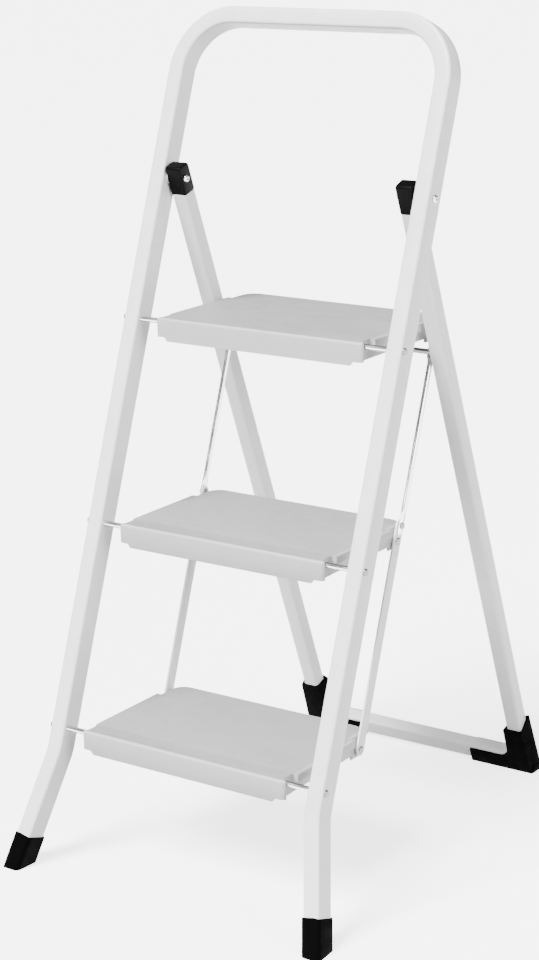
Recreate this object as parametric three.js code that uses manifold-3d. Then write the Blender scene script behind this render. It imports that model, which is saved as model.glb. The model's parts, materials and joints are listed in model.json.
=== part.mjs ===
// Three-tread folding steel step stool with a hand bail, standing open.
// Millimetres, +Z up, floor at z = 0, the user faces +Y and stands at -Y; X runs across the treads.
import * as THREE from "three";
import { mergeVertices } from "three/addons/utils/BufferGeometryUtils.js";
import Module from "manifold-3d";

const wasm = await Module();
wasm.setup();

const degrees = THREE.MathUtils.degToRad;

// ---------------------------------------------------------------- driving dimensions
const GAP = 0.3; // left between pieces that touch
const FRONT_LEAN = degrees(19.7); // front frame, back from upright

const FRONT_TUBE = { width: 21, depth: 30, corner: 5, wall: 1.5 };
const REAR_TUBE = { width: 22, depth: 20, corner: 5, wall: 1.5 };

const FRAME_WIDTH = 399; // over the straight front legs
const BAIL_ABOVE_PIVOT = 206.5; // top of the bail over the rear frame's pivot
const BAIL_BEND_RADIUS = 71.5; // centre line
const FLARE_BELOW_ROD = 25.6; // where the leg turns outwards, under the bottom tread's rod
const FLARE_ANGLE = degrees(11.8);
const FLARE_BEND_RADIUS = 90;

const ROD_DIAMETER = 6.5;
const ROD_HEAD = { beyond_rod: 1, height: 2.6 };
const ROD_SETBACK = 6.5; // rod axis behind the front face of the legs
const FIRST_ROD_HEIGHT = 171.6;
const TREAD_RISE = 240;

const TREAD_SIDE_CLEARANCE = 5.15; // to the rear leg beside it
const TREAD_DEPTH = 192;
const TREAD_NOSE = 9.2; // front edge ahead of the rod axis
const DECK_ABOVE_ROD = 5.8;
const DECK_THICKNESS = 2.2;
const SKIRT_HEIGHT = 28.3;
const SKIRT_WALL = 2.5;
const SKIRT_END_RAISE = 4.8; // the skirt is this much shallower at both ends
const SKIRT_END_LENGTH = 18;
const DECK_EDGE_ROUND = 4;
const FRONT_CORNER_RADIUS = 6;
const REAR_CORNER_RADIUS = 20;
const RIB = { thickness: 2, height: 19, pitch_along: 46, pitch_across: 48, first: 32 };
const ROD_POCKET = { depth: 6, length: 26, corner: 5, wall: 3.5 }; // scoop where the rod comes out
const LINK_RECESS_LENGTH = 40; // at the back of each side
const LINK_RECESS_DEPTH = 6.5;
const LINK_CHANNEL_DROP = 10.5; // under the deck, the sides step in so that the folded links lie there

const LINK_PIN_INSET = 24.8; // link pin ahead of the tread's back edge
const LINK_PIN_DROP = 13; // link pin below the rod axis
const LINK_BAR = { width: 16, thickness: 2.5, above_pin: 26 };
const LINK_PADDLE = { width: 12, thickness: 2.5, length: 26, corner: 3, overlap: 5, set_in: 0.6 };
const SPLICE_ABOVE_PIN = 19; // the rivet between link bar and link rod, over the middle pin
const SPLICE_RIVET_HEAD = { diameter: 8, height: 1 };
const LINK_ROD_DIAMETER = 6.5;
const LINK_ROD_END = 3; // the bent end stands this far inside the top tread's skirt
const LINK_ROD_CLEARANCE = 1.6; // between the link rods and the rear rod that crosses in front of them
const LINK_ROD_BEND = 6;
const LINK_WASHER = { diameter: 12, thickness: 1.2 };
const RIVET = { shank: 5, head: 9, head_height: 2 };

const PIVOT_ABOVE_TOP_ROD = 165.4;
const PIVOT_SETBACK = 14.5; // behind the front face of the front legs
const REAR_PIVOT_SETBACK = 8; // behind the front face of the rear legs
const PIVOT_BOLT = { shank: 6, head: 9.5, head_height: 2.8 };
const PIVOT_WASHER_DIAMETER = 16;
const LEG_SIDE_GAP = 2.6; // between a front leg and the rear leg beside it
const REAR_TOE_IN = 3; // each rear leg stands this much nearer the middle at the floor than at the pivot
const REAR_BEND_RADIUS = 25;
const REAR_BAR_CLEARANCE = 3; // under the front edge of the floor crossbar
const REAR_ROD_BELOW_DECK = 38.7; // under the top of the top tread
const REAR_ROD_IN_LEG = 1; // the rod's end stands this far inside the hollow of the leg

const CAP = { below_pivot: 20, above_pivot: 17, round: 8, bevel: 1.5 };
const CAP_PLUG = { length: 22, fit: 0.4, corner_relief: 2, root: 5 };
const BOOT = { height: 46, wall: 1.8, sole: 4 };
const REAR_FOOT = { height: 72, wall: 2.6, outer_wall: 3.6, arm_length: 75, arm_height: 20, fillet: 16 };
const REAR_FOOT_SPREAD = { width: 3, height: 8 }; // the outer side leans out towards the floor
const REAR_FOOT_TAIL = { length: 7, height: 9 };
const CATCH = { inset: 37, width: 14, length: 26, shoulder: 4, lead: 2, hook: 5, hook_wall: 3 };

const BAR_SEGMENTS = 16; // round bars and the holes they pass through
const RIVET_SEGMENTS = 12;
const CORNER_SEGMENTS = 2; // each rounded corner of a tube
const ARC_SEGMENTS = 5; // each rounded corner of a moulded piece
const BEND_PIECES = { quarter: 6, flare: 3, rod: 4 }; // straight pieces in a bent tube or rod
const OVERCUT = 1; // a cut runs this far past the face that it opens
const FAR = 2000; // larger than the stool, for cuts right through

// ---------------------------------------------------------------- derived frames
const ROD_RADIUS = ROD_DIAMETER / 2;
const LEG_CENTRE = (FRAME_WIDTH - FRONT_TUBE.width) / 2;
const LEG_INNER = FRAME_WIDTH / 2 - FRONT_TUBE.width;
const LEG_OUTER = FRAME_WIDTH / 2;
const REAR_OUTER_TOP = LEG_INNER - LEG_SIDE_GAP;
const REAR_CENTRE_TOP = REAR_OUTER_TOP - REAR_TUBE.width / 2;
const REAR_CENTRE_FLOOR = REAR_CENTRE_TOP - REAR_TOE_IN;
const TREAD_WIDTH = 2 * (REAR_OUTER_TOP - REAR_TUBE.width - TREAD_SIDE_CLEARANCE);
const LINK_PIN_BACK = TREAD_DEPTH - TREAD_NOSE - LINK_PIN_INSET; // link pin behind the rod axis
const LINK_RECESS_START = TREAD_DEPTH - LINK_RECESS_LENGTH; // from the front edge

// A point given by its depth behind the front face of the front legs and its distance up along them.
function onFrontFrame(depth, along) {
  return {
    y: depth * Math.cos(FRONT_LEAN) + along * Math.sin(FRONT_LEAN),
    z: -depth * Math.sin(FRONT_LEAN) + along * Math.cos(FRONT_LEAN),
  };
}

// The point at a given height that lies a given depth behind the front face.
function atHeightOnFrontFrame(depth, height) {
  return onFrontFrame(depth, (height + depth * Math.sin(FRONT_LEAN)) / Math.cos(FRONT_LEAN));
}

function depthBehindFrontFrame(point) {
  return point.y * Math.cos(FRONT_LEAN) - point.z * Math.sin(FRONT_LEAN);
}

const TREADS = ["bottom", "middle", "top"].map((name, i) => {
  const height = FIRST_ROD_HEIGHT + i * TREAD_RISE;
  const rod = atHeightOnFrontFrame(ROD_SETBACK, height);
  const pin = { y: rod.y + LINK_PIN_BACK, z: rod.z - LINK_PIN_DROP };
  return { name, rod, pin };
});
const [BOTTOM_TREAD, MIDDLE_TREAD, TOP_TREAD] = TREADS;

const PIVOT = atHeightOnFrontFrame(PIVOT_SETBACK, TOP_TREAD.rod.z + PIVOT_ABOVE_TOP_ROD);
const FRAME_HEIGHT = PIVOT.z + BAIL_ABOVE_PIVOT;
const FLARE_HEIGHT = BOTTOM_TREAD.rod.z - FLARE_BELOW_ROD;

// Side stack at the link, from the skirt outwards.
const SIDE_WALL_X = TREAD_WIDTH / 2 - LINK_RECESS_DEPTH;
const LINK_BAR_X = SIDE_WALL_X + LINK_WASHER.thickness + 2 * GAP;
const LINK_PADDLE_X = LINK_BAR_X + LINK_BAR.thickness + GAP;
const LINK_ROD_X = LINK_PADDLE_X + LINK_PADDLE.thickness / 2 - LINK_PADDLE.set_in;
const PIN_SPACING = TREAD_RISE / Math.cos(FRONT_LEAN);

// The rear rod lies just ahead of the link rods, under the top tread.
const REAR_ROD_DEPTH =
  depthBehindFrontFrame(TOP_TREAD.pin) - ROD_RADIUS - LINK_ROD_DIAMETER / 2 - LINK_ROD_CLEARANCE;
const REAR_ROD = atHeightOnFrontFrame(
  REAR_ROD_DEPTH,
  TOP_TREAD.rod.z + DECK_ABOVE_ROD - REAR_ROD_BELOW_DECK,
);
const REAR_ROD_REACH = REAR_CENTRE_TOP - REAR_TUBE.width / 2 + REAR_TUBE.wall + REAR_ROD_IN_LEG;

// The rear legs run from the pivot through the rear rod to the floor.
const REAR_LEAN = Math.atan2(REAR_ROD.y - PIVOT.y, PIVOT.z - REAR_ROD.z); // forward from upright
const REAR_PIVOT_ALONG = (PIVOT.z - REAR_PIVOT_SETBACK * Math.sin(REAR_LEAN)) / Math.cos(REAR_LEAN);
const REAR_ORIGIN_Y =
  PIVOT.y - REAR_PIVOT_SETBACK * Math.cos(REAR_LEAN) + REAR_PIVOT_ALONG * Math.sin(REAR_LEAN);

// The rivet that joins the flattened end of a link rod to its link bar.
const SPLICE = {
  y: MIDDLE_TREAD.pin.y + SPLICE_ABOVE_PIN * Math.sin(FRONT_LEAN),
  z: MIDDLE_TREAD.pin.z + SPLICE_ABOVE_PIN * Math.cos(FRONT_LEAN),
};

const frontPlacement = new THREE.Matrix4().makeRotationX(-FRONT_LEAN);
const rearPlacement = new THREE.Matrix4()
  .makeTranslation(0, REAR_ORIGIN_Y, 0)
  .multiply(new THREE.Matrix4().makeRotationX(REAR_LEAN));

// ---------------------------------------------------------------- geometry helpers
function solidFrom(geometry) {
  const bare = geometry.clone();
  bare.deleteAttribute("normal");
  bare.deleteAttribute("uv");
  const merged = mergeVertices(bare, 1e-4);
  return new wasm.Manifold(
    new wasm.Mesh({
      numProp: 3,
      vertProperties: new Float32Array(merged.attributes.position.array),
      triVerts: new Uint32Array(merged.index.array),
    }),
  );
}

function geometryFrom(solid) {
  const mesh = solid.getMesh();
  const indexed = new THREE.BufferGeometry();
  indexed.setAttribute("position", new THREE.BufferAttribute(mesh.vertProperties, mesh.numProp));
  indexed.setIndex(new THREE.BufferAttribute(mesh.triVerts, 1));
  const flat = indexed.toNonIndexed();
  flat.computeVertexNormals();
  return flat;
}

function union(solids) {
  return solids.reduce((sum, solid) => sum.add(solid));
}

// A box given by its lowest and highest corners.
function boxGeometry(low, high) {
  const box = new THREE.BoxGeometry(high[0] - low[0], high[1] - low[1], high[2] - low[2]);
  return box.translate((low[0] + high[0]) / 2, (low[1] + high[1]) / 2, (low[2] + high[2]) / 2);
}

function boxSolid(low, high) {
  return solidFrom(boxGeometry(low, high));
}

// A round bar along X between two x values, its axis through (y, z).
function crossBar(radius, from, to, axis) {
  const bar = new THREE.CylinderGeometry(radius, radius, Math.abs(to - from), BAR_SEGMENTS);
  bar.rotateZ(Math.PI / 2);
  return solidFrom(bar.translate((from + to) / 2, axis.y, axis.z));
}

function roundedRectangle(width, height, radius) {
  const x = width / 2 - radius;
  const y = height / 2 - radius;
  const shape = new THREE.Shape();
  shape.absarc(x, y, radius, 0, Math.PI / 2);
  shape.absarc(-x, y, radius, Math.PI / 2, Math.PI);
  shape.absarc(-x, -y, radius, Math.PI, 1.5 * Math.PI);
  shape.absarc(x, -y, radius, 1.5 * Math.PI, 2 * Math.PI);
  return shape;
}

// The section of a tube as seen along its bent path: depth first, width second.
function tubeSection(tube, grow = 0, hollow = true) {
  const section = roundedRectangle(tube.depth + 2 * grow, tube.width + 2 * grow, tube.corner + grow);
  if (hollow) {
    const bore = roundedRectangle(
      tube.depth - 2 * tube.wall,
      tube.width - 2 * tube.wall,
      tube.corner - tube.wall,
    );
    section.holes.push(bore);
  }
  return section;
}

// A planar tube centre line made of straight runs and arcs, with a section drawn at each station.
class BentPath extends THREE.Curve {
  constructor(start, heading) {
    super();
    this.heading = heading;
    this.stations = [{ point: start.clone(), heading }];
  }

  add(point, heading) {
    this.stations.push({ point, heading });
    this.heading = heading;
  }

  get end() {
    return this.stations[this.stations.length - 1].point;
  }

  straight(length) {
    const step = new THREE.Vector3(Math.cos(this.heading), Math.sin(this.heading), 0);
    this.add(this.end.clone().addScaledVector(step, length), this.heading);
    return this;
  }

  // Turns by an angle, anticlockwise if it is positive, along an arc of the given radius.
  bend(angle, radius, pieces) {
    const side = Math.sign(angle);
    const start = this.heading;
    const centre = this.end
      .clone()
      .add(new THREE.Vector3(-Math.sin(start), Math.cos(start), 0).multiplyScalar(side * radius));
    for (let i = 1; i <= pieces; i++) {
      const now = start + (angle * i) / pieces;
      const spoke = new THREE.Vector3(Math.sin(now), -Math.cos(now), 0).multiplyScalar(side * radius);
      this.add(centre.clone().add(spoke), now);
    }
    return this;
  }

  getUtoTmapping(u) {
    return u;
  }

  getPoint(t) {
    return this.stations[Math.round(t * (this.stations.length - 1))].point.clone();
  }

  getTangent(t) {
    const { heading } = this.stations[Math.round(t * (this.stations.length - 1))];
    return new THREE.Vector3(Math.cos(heading), Math.sin(heading), 0);
  }
}

// Sweeps a section along a path drawn in the XY plane, then stands the plane up so its Y becomes Z.
function sweep(section, path) {
  const swept = new THREE.ExtrudeGeometry(section, {
    steps: path.stations.length - 1,
    curveSegments: CORNER_SEGMENTS,
    extrudePath: path,
  });
  return swept.rotateX(Math.PI / 2);
}

// Revolves a profile of [radius, x] pairs about the X axis, then moves it to an axis point.
function turnedAboutX(profile, axis, mirrored = false, segments = RIVET_SEGMENTS) {
  const points = profile.map(([radius, x]) => new THREE.Vector2(radius, x));
  const turned = new THREE.LatheGeometry(points, segments);
  turned.rotateZ(-Math.PI / 2);
  if (mirrored) turned.rotateZ(Math.PI);
  return turned.translate(0, axis.y, axis.z);
}

// The profile of a domed head that starts at x and rises by its height away from the shank.
function domePoints(radius, x, height, direction) {
  const rim = [0, Math.PI / 6, Math.PI / 3].map((angle) => [
    radius * Math.cos(angle),
    x + direction * height * Math.sin(angle),
  ]);
  return [...rim, [0, x + direction * height]];
}

// A headed pin along X: a shank between two x values with a dome on each end.
function headedPin(shank, head, headHeight, from, to) {
  return [
    ...domePoints(head / 2, from, headHeight, -1).reverse(),
    [shank / 2, from],
    [shank / 2, to],
    ...domePoints(head / 2, to, headHeight, 1),
  ];
}

// Extrudes an outline drawn as (y, z) along X from a given x.
function plateAcrossX(outline, x, options) {
  const plate = new THREE.ExtrudeGeometry(outline, {
    bevelEnabled: false,
    curveSegments: ARC_SEGMENTS,
    ...options,
  });
  return plate.rotateX(Math.PI / 2).rotateZ(Math.PI / 2).translate(x, 0, 0);
}

// ---------------------------------------------------------------- finishes
function finish(name, color, roughness, metalness) {
  return new THREE.MeshStandardMaterial({ name, color, roughness, metalness });
}

const PAINT = finish("white_powder_coat", 0xe6e6e4, 0.45, 0.0);
const TREAD_PLASTIC = finish("grey_tread_plastic", 0xc4c4c4, 0.6, 0.0);
const BLACK_PLASTIC = finish("black_plastic", 0x141414, 0.5, 0.0);
const BLACK_RUBBER = finish("black_rubber", 0x111111, 0.75, 0.0);
const ZINC = finish("zinc_plate", 0xc9ccd0, 0.28, 1.0);
const NYLON = finish("natural_nylon", 0xe2dfd6, 0.5, 0.0);

const pieces = new THREE.Group();
pieces.name = "pieces";

function addPiece(name, shape, material) {
  const geometry = shape instanceof wasm.Manifold ? geometryFrom(shape) : shape;
  const mesh = new THREE.Mesh(geometry, material);
  mesh.name = name;
  pieces.add(mesh);
  return mesh;
}

const SIDES = [
  { side: "left", sign: -1 },
  { side: "right", sign: 1 },
];

// ---------------------------------------------------------------- front frame and its boots
// Centre line of the front tube in its own plane, from the left foot over the bail to the right foot.
function frontPath() {
  const slope = Math.cos(FRONT_LEAN);
  const flareAlong = FLARE_HEIGHT / slope;
  const topAlong = FRAME_HEIGHT / slope - FRONT_TUBE.width / 2;
  const tangentLength = FLARE_BEND_RADIUS * Math.tan(FLARE_ANGLE / 2);
  const footLength = flareAlong / Math.cos(FLARE_ANGLE) - tangentLength;
  const legLength = topAlong - BAIL_BEND_RADIUS - flareAlong - tangentLength;
  const start = new THREE.Vector3(-LEG_CENTRE - flareAlong * Math.tan(FLARE_ANGLE), 0, 0);
  return new BentPath(start, Math.PI / 2 - FLARE_ANGLE)
    .straight(footLength)
    .bend(FLARE_ANGLE, FLARE_BEND_RADIUS, BEND_PIECES.flare)
    .straight(legLength)
    .bend(-Math.PI / 2, BAIL_BEND_RADIUS, BEND_PIECES.quarter)
    .straight(2 * (LEG_CENTRE - BAIL_BEND_RADIUS))
    .bend(-Math.PI / 2, BAIL_BEND_RADIUS, BEND_PIECES.quarter)
    .straight(legLength)
    .bend(FLARE_ANGLE, FLARE_BEND_RADIUS, BEND_PIECES.flare)
    .straight(footLength);
}

function frontTube(grow, hollow) {
  const swept = sweep(tubeSection(FRONT_TUBE, grow, hollow), frontPath());
  swept.translate(0, FRONT_TUBE.depth / 2, 0);
  return solidFrom(swept.applyMatrix4(frontPlacement));
}

function belowHeight(height) {
  return boxSolid([-FAR, -FAR, -FAR], [FAR, FAR, height]);
}

function frontFrame() {
  const holes = TREADS.map(({ rod }) => crossBar(ROD_RADIUS + GAP, -FAR, FAR, rod));
  holes.push(crossBar(PIVOT_BOLT.shank / 2 + GAP, -FAR, FAR, PIVOT));
  return frontTube(0, true).subtract(belowHeight(BOOT.sole + GAP)).subtract(union(holes));
}

// The rubber boot follows the flared end of the leg and stands flat on the floor.
function frontBoot(sign) {
  const flared = boxSolid(
    [sign > 0 ? LEG_CENTRE : -FAR, -FAR, -FAR],
    [sign > 0 ? FAR : -LEG_CENTRE, FAR, FAR],
  );
  const topCut = boxGeometry([-FAR, -FAR, BOOT.height], [FAR, FAR, FAR]).applyMatrix4(frontPlacement);
  const lengthened = frontTube(BOOT.wall + GAP, false).intersect(flared);
  const hollow = frontTube(GAP, false).subtract(belowHeight(BOOT.sole));
  return lengthened.subtract(solidFrom(topCut)).subtract(belowHeight(0)).subtract(hollow);
}

// ---------------------------------------------------------------- treads
// Plan of a tread with its front edge at y = 0, drawn in by an inset.
function treadPlan(inset) {
  const half = TREAD_WIDTH / 2 - inset;
  const narrow = half - LINK_RECESS_DEPTH;
  const front = inset;
  const back = TREAD_DEPTH - inset;
  const frontRound = FRONT_CORNER_RADIUS - inset;
  const rearRound = REAR_CORNER_RADIUS - inset;
  const recess = LINK_RECESS_START - inset;
  const quarter = Math.PI / 2;
  const plan = new THREE.Shape();
  plan.moveTo(half, front + frontRound);
  plan.lineTo(half, recess);
  plan.lineTo(narrow, recess);
  plan.absarc(narrow - rearRound, back - rearRound, rearRound, 0, quarter);
  plan.absarc(-narrow + rearRound, back - rearRound, rearRound, quarter, 2 * quarter);
  plan.lineTo(-narrow, recess);
  plan.lineTo(-half, recess);
  plan.absarc(-half + frontRound, front + frontRound, frontRound, 2 * quarter, 3 * quarter);
  plan.absarc(half - frontRound, front + frontRound, frontRound, 3 * quarter, 4 * quarter);
  return plan;
}

function extrudedPlan(inset, bottom, top, round = 0) {
  const bevel = {
    bevelEnabled: round > 0,
    bevelThickness: round,
    bevelSize: round,
    bevelOffset: -round,
    bevelSegments: CORNER_SEGMENTS,
  };
  const body = new THREE.ExtrudeGeometry(treadPlan(inset), {
    depth: top - bottom - 2 * round,
    curveSegments: ARC_SEGMENTS,
    ...bevel,
  });
  return solidFrom(body.translate(0, 0, bottom + round));
}

// Cuts the skirt shallower at both ends, with a sloped step.
function skirtEndCut(sign) {
  const shape = new THREE.Shape();
  const inner = TREAD_WIDTH / 2 - SKIRT_END_LENGTH;
  const outer = TREAD_WIDTH / 2 + OVERCUT;
  const bottom = -SKIRT_HEIGHT - OVERCUT;
  const raised = -SKIRT_HEIGHT + SKIRT_END_RAISE;
  shape.moveTo(sign * (inner - OVERCUT), bottom);
  shape.lineTo(sign * outer, bottom);
  shape.lineTo(sign * outer, raised);
  shape.lineTo(sign * (inner + SKIRT_END_RAISE), raised);
  const depth = LINK_RECESS_START + OVERCUT;
  const cut = new THREE.ExtrudeGeometry(shape, { depth, bevelEnabled: false });
  return solidFrom(cut.rotateX(Math.PI / 2).translate(0, LINK_RECESS_START, 0));
}

// The scoop at a front corner: a rounded block cut into the side, where the rod comes out.
function rodPocket(sign) {
  const shape = new THREE.Shape();
  const half = ROD_POCKET.length / 2;
  const centre = SKIRT_WALL + half;
  const outside = TREAD_WIDTH / 2 + OVERCUT;
  const inside = TREAD_WIDTH / 2 - ROD_POCKET.depth;
  const { corner } = ROD_POCKET;
  shape.moveTo(outside, centre + half);
  shape.lineTo(outside, centre - half);
  shape.absarc(inside + corner, centre - half + corner, corner, 1.5 * Math.PI, Math.PI, true);
  shape.absarc(inside + corner, centre + half - corner, corner, Math.PI, Math.PI / 2, true);
  const depth = SKIRT_HEIGHT + 2 * OVERCUT;
  const curveSegments = ARC_SEGMENTS;
  const cut = new THREE.ExtrudeGeometry(shape, { depth, bevelEnabled: false, curveSegments });
  cut.translate(0, 0, -SKIRT_HEIGHT - OVERCUT);
  if (sign < 0) cut.rotateZ(Math.PI).translate(0, 2 * centre, 0);
  return solidFrom(cut);
}

// The wall behind a front corner scoop, which carries the rod.
function pocketWall(sign) {
  const inside = TREAD_WIDTH / 2 - ROD_POCKET.depth;
  const from = sign > 0 ? inside - ROD_POCKET.wall : -inside;
  const length = SKIRT_WALL + ROD_POCKET.length + SKIRT_WALL;
  return boxSolid(
    [from, SKIRT_WALL / 2, -SKIRT_HEIGHT + SKIRT_END_RAISE],
    [from + ROD_POCKET.wall, length, -DECK_THICKNESS / 2],
  );
}

// The stepped-in side wall and the ceiling of the channel that the folded links lie in.
function channelWall(sign) {
  const inside = SIDE_WALL_X - SKIRT_WALL;
  const rim = TREAD_WIDTH / 2 - SKIRT_WALL / 2;
  const front = SKIRT_WALL + ROD_POCKET.length;
  const ceiling = -LINK_CHANNEL_DROP + DECK_THICKNESS;
  const wall = boxSolid(
    [Math.min(sign * inside, sign * SIDE_WALL_X), front, -SKIRT_HEIGHT + SKIRT_END_RAISE],
    [Math.max(sign * inside, sign * SIDE_WALL_X), LINK_RECESS_START, ceiling],
  );
  const roof = boxSolid(
    [Math.min(sign * inside, sign * rim), front, -LINK_CHANNEL_DROP],
    [Math.max(sign * inside, sign * rim), LINK_RECESS_START - SKIRT_WALL / 2, ceiling],
  );
  return wall.add(roof);
}

// The channel itself, from the front corner scoop to the link recess.
function linkChannel(sign) {
  const outside = TREAD_WIDTH / 2 + OVERCUT;
  const front = SKIRT_WALL + ROD_POCKET.length - ROD_POCKET.corner;
  return boxSolid(
    [Math.min(sign * SIDE_WALL_X, sign * outside), front, -SKIRT_HEIGHT - OVERCUT],
    [Math.max(sign * SIDE_WALL_X, sign * outside), LINK_RECESS_START + OVERCUT, -LINK_CHANNEL_DROP],
  );
}

// Stiffening ribs under the deck, in both directions.
function treadRibs() {
  const inset = SKIRT_WALL / 2;
  const reach = TREAD_WIDTH / 2 - LINK_RECESS_DEPTH - inset;
  const half = RIB.thickness / 2;
  const top = -DECK_THICKNESS / 2;
  const ribs = [];
  for (let y = RIB.first; y < LINK_RECESS_START; y += RIB.pitch_along) {
    ribs.push(boxSolid([-reach, y, -RIB.height], [reach, y + RIB.thickness, top]));
  }
  const outermost = Math.floor(reach / RIB.pitch_across) * RIB.pitch_across;
  for (let x = -outermost; x <= outermost; x += RIB.pitch_across) {
    ribs.push(boxSolid([x - half, inset, -RIB.height], [x + half, TREAD_DEPTH - inset, top]));
  }
  return union(ribs);
}

// Saddle under the top tread that drops over the rear rod and hooks behind it.
function catchLug(x, rod) {
  const shape = new THREE.Shape();
  const seat = ROD_RADIUS + GAP;
  const front = rod.y - CATCH.length / 2;
  const back = rod.y + CATCH.length / 2;
  const top = -DECK_THICKNESS / 2;
  const shoulder = rod.z + seat + CATCH.shoulder;
  const hookFront = rod.y + seat + OVERCUT;
  shape.moveTo(front, top);
  shape.lineTo(front, shoulder);
  shape.lineTo(rod.y - seat - CATCH.lead, rod.z + seat);
  shape.lineTo(rod.y, rod.z + seat);
  shape.absarc(rod.y, rod.z, seat, Math.PI / 2, 0, true);
  shape.lineTo(hookFront, rod.z - CATCH.hook);
  shape.lineTo(hookFront + CATCH.hook_wall, rod.z - CATCH.hook);
  shape.lineTo(back, shoulder);
  shape.lineTo(back, top);
  return solidFrom(plateAcrossX(shape, x - CATCH.width / 2, { depth: CATCH.width }));
}

function tread({ name, rod, pin }) {
  const frontEdge = rod.y - TREAD_NOSE;
  const deckTop = rod.z + DECK_ABOVE_ROD;
  const local = (point) => ({ y: point.y - frontEdge, z: point.z - deckTop });
  const outside = extrudedPlan(0, -SKIRT_HEIGHT - 2 * DECK_EDGE_ROUND, 0, DECK_EDGE_ROUND);
  const room = extrudedPlan(SKIRT_WALL, -2 * SKIRT_HEIGHT, -DECK_THICKNESS);
  let shell = outside.subtract(belowHeight(-SKIRT_HEIGHT)).subtract(room).add(treadRibs());
  for (const { sign } of SIDES) {
    shell = shell.add(pocketWall(sign)).add(channelWall(sign));
    shell = shell.subtract(rodPocket(sign)).subtract(linkChannel(sign)).subtract(skirtEndCut(sign));
    if (name === "top") {
      shell = shell.add(catchLug(sign * (SIDE_WALL_X - CATCH.inset), local(REAR_ROD)));
    }
  }
  shell = shell
    .subtract(crossBar(ROD_RADIUS + GAP, -FAR, FAR, local(rod)))
    .subtract(pinHoles(pinRadiusAt(name) + GAP, local(pin)));
  const geometry = geometryFrom(shell);
  return geometry.translate(0, frontEdge, deckTop);
}

function pinHoles(radius, pin) {
  const inner = SIDE_WALL_X - SKIRT_WALL - OVERCUT;
  return crossBar(radius, inner, TREAD_WIDTH, pin).add(crossBar(radius, -TREAD_WIDTH, -inner, pin));
}

// The top tread is held by the bent ends of the link rods, the others by rivets.
function pinRadiusAt(name) {
  return name === "top" ? LINK_ROD_DIAMETER / 2 : RIVET.shank / 2;
}

function treadRod({ rod }) {
  const reach = LEG_OUTER + GAP;
  const head = ROD_DIAMETER + 2 * ROD_HEAD.beyond_rod;
  const profile = headedPin(ROD_DIAMETER, head, ROD_HEAD.height, -reach, reach);
  return turnedAboutX(profile, rod, false, BAR_SEGMENTS);
}

// ---------------------------------------------------------------- rear frame
function rearPath() {
  const slope = Math.cos(REAR_LEAN);
  const barAlong = REAR_BAR_CLEARANCE / slope + REAR_TUBE.width / 2;
  const topAlong = REAR_PIVOT_ALONG - CAP.below_pivot - GAP;
  const toe = Math.atan2(REAR_TOE_IN, REAR_PIVOT_ALONG - barAlong);
  const tangentLength = REAR_BEND_RADIUS * Math.tan((Math.PI / 2 - toe) / 2);
  const legLength = (topAlong - barAlong) / Math.cos(toe) - tangentLength;
  const cornerX = REAR_CENTRE_FLOOR;
  const topX = cornerX + Math.tan(toe) * (topAlong - barAlong);
  return new BentPath(new THREE.Vector3(-topX, topAlong, 0), -Math.PI / 2 + toe)
    .straight(legLength)
    .bend(Math.PI / 2 - toe, REAR_BEND_RADIUS, BEND_PIECES.quarter)
    .straight(2 * (cornerX - tangentLength))
    .bend(Math.PI / 2 - toe, REAR_BEND_RADIUS, BEND_PIECES.quarter)
    .straight(legLength);
}

function rearTube(grow, hollow) {
  const swept = sweep(tubeSection(REAR_TUBE, grow, hollow), rearPath());
  swept.translate(0, REAR_TUBE.depth / 2, 0);
  return solidFrom(swept.applyMatrix4(rearPlacement));
}

function rearFrame() {
  const reach = REAR_ROD_REACH + OVERCUT;
  return rearTube(0, true).subtract(crossBar(ROD_RADIUS + GAP, -reach, reach, REAR_ROD));
}

function rearRod() {
  const bar = new THREE.CylinderGeometry(ROD_RADIUS, ROD_RADIUS, 2 * REAR_ROD_REACH, BAR_SEGMENTS);
  return bar.rotateZ(Math.PI / 2).translate(0, REAR_ROD.y, REAR_ROD.z);
}

// Pivot cap: a round-topped block on the end of each rear leg with a plug inside the tube.
function rearCap(sign) {
  const from = REAR_PIVOT_ALONG - CAP.below_pivot;
  const to = REAR_PIVOT_ALONG + CAP.above_pivot;
  const block = new THREE.Shape();
  block.moveTo(0, from);
  block.lineTo(REAR_TUBE.depth, from);
  block.absarc(REAR_TUBE.depth - CAP.round, to - CAP.round, CAP.round, 0, Math.PI / 2);
  block.absarc(CAP.round, to - CAP.round, CAP.round, Math.PI / 2, Math.PI);
  const leftFace = sign * REAR_CENTRE_TOP - REAR_TUBE.width / 2;
  const head = plateAcrossX(block, leftFace + CAP.bevel, {
    depth: REAR_TUBE.width - 2 * CAP.bevel,
    bevelEnabled: true,
    bevelThickness: CAP.bevel,
    bevelSize: CAP.bevel,
    bevelOffset: -CAP.bevel,
    bevelSegments: CORNER_SEGMENTS,
  });
  const inset = REAR_TUBE.wall + CAP_PLUG.fit + CAP_PLUG.corner_relief;
  const plug = boxGeometry(
    [leftFace + inset, inset, from - CAP_PLUG.length],
    [leftFace + REAR_TUBE.width - inset, REAR_TUBE.depth - inset, from + CAP_PLUG.root],
  );
  const placed = [head, plug].map((part) => solidFrom(part.applyMatrix4(rearPlacement)));
  return union(placed).subtract(crossBar(PIVOT_BOLT.shank / 2 + GAP, -FAR, FAR, PIVOT));
}

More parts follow.
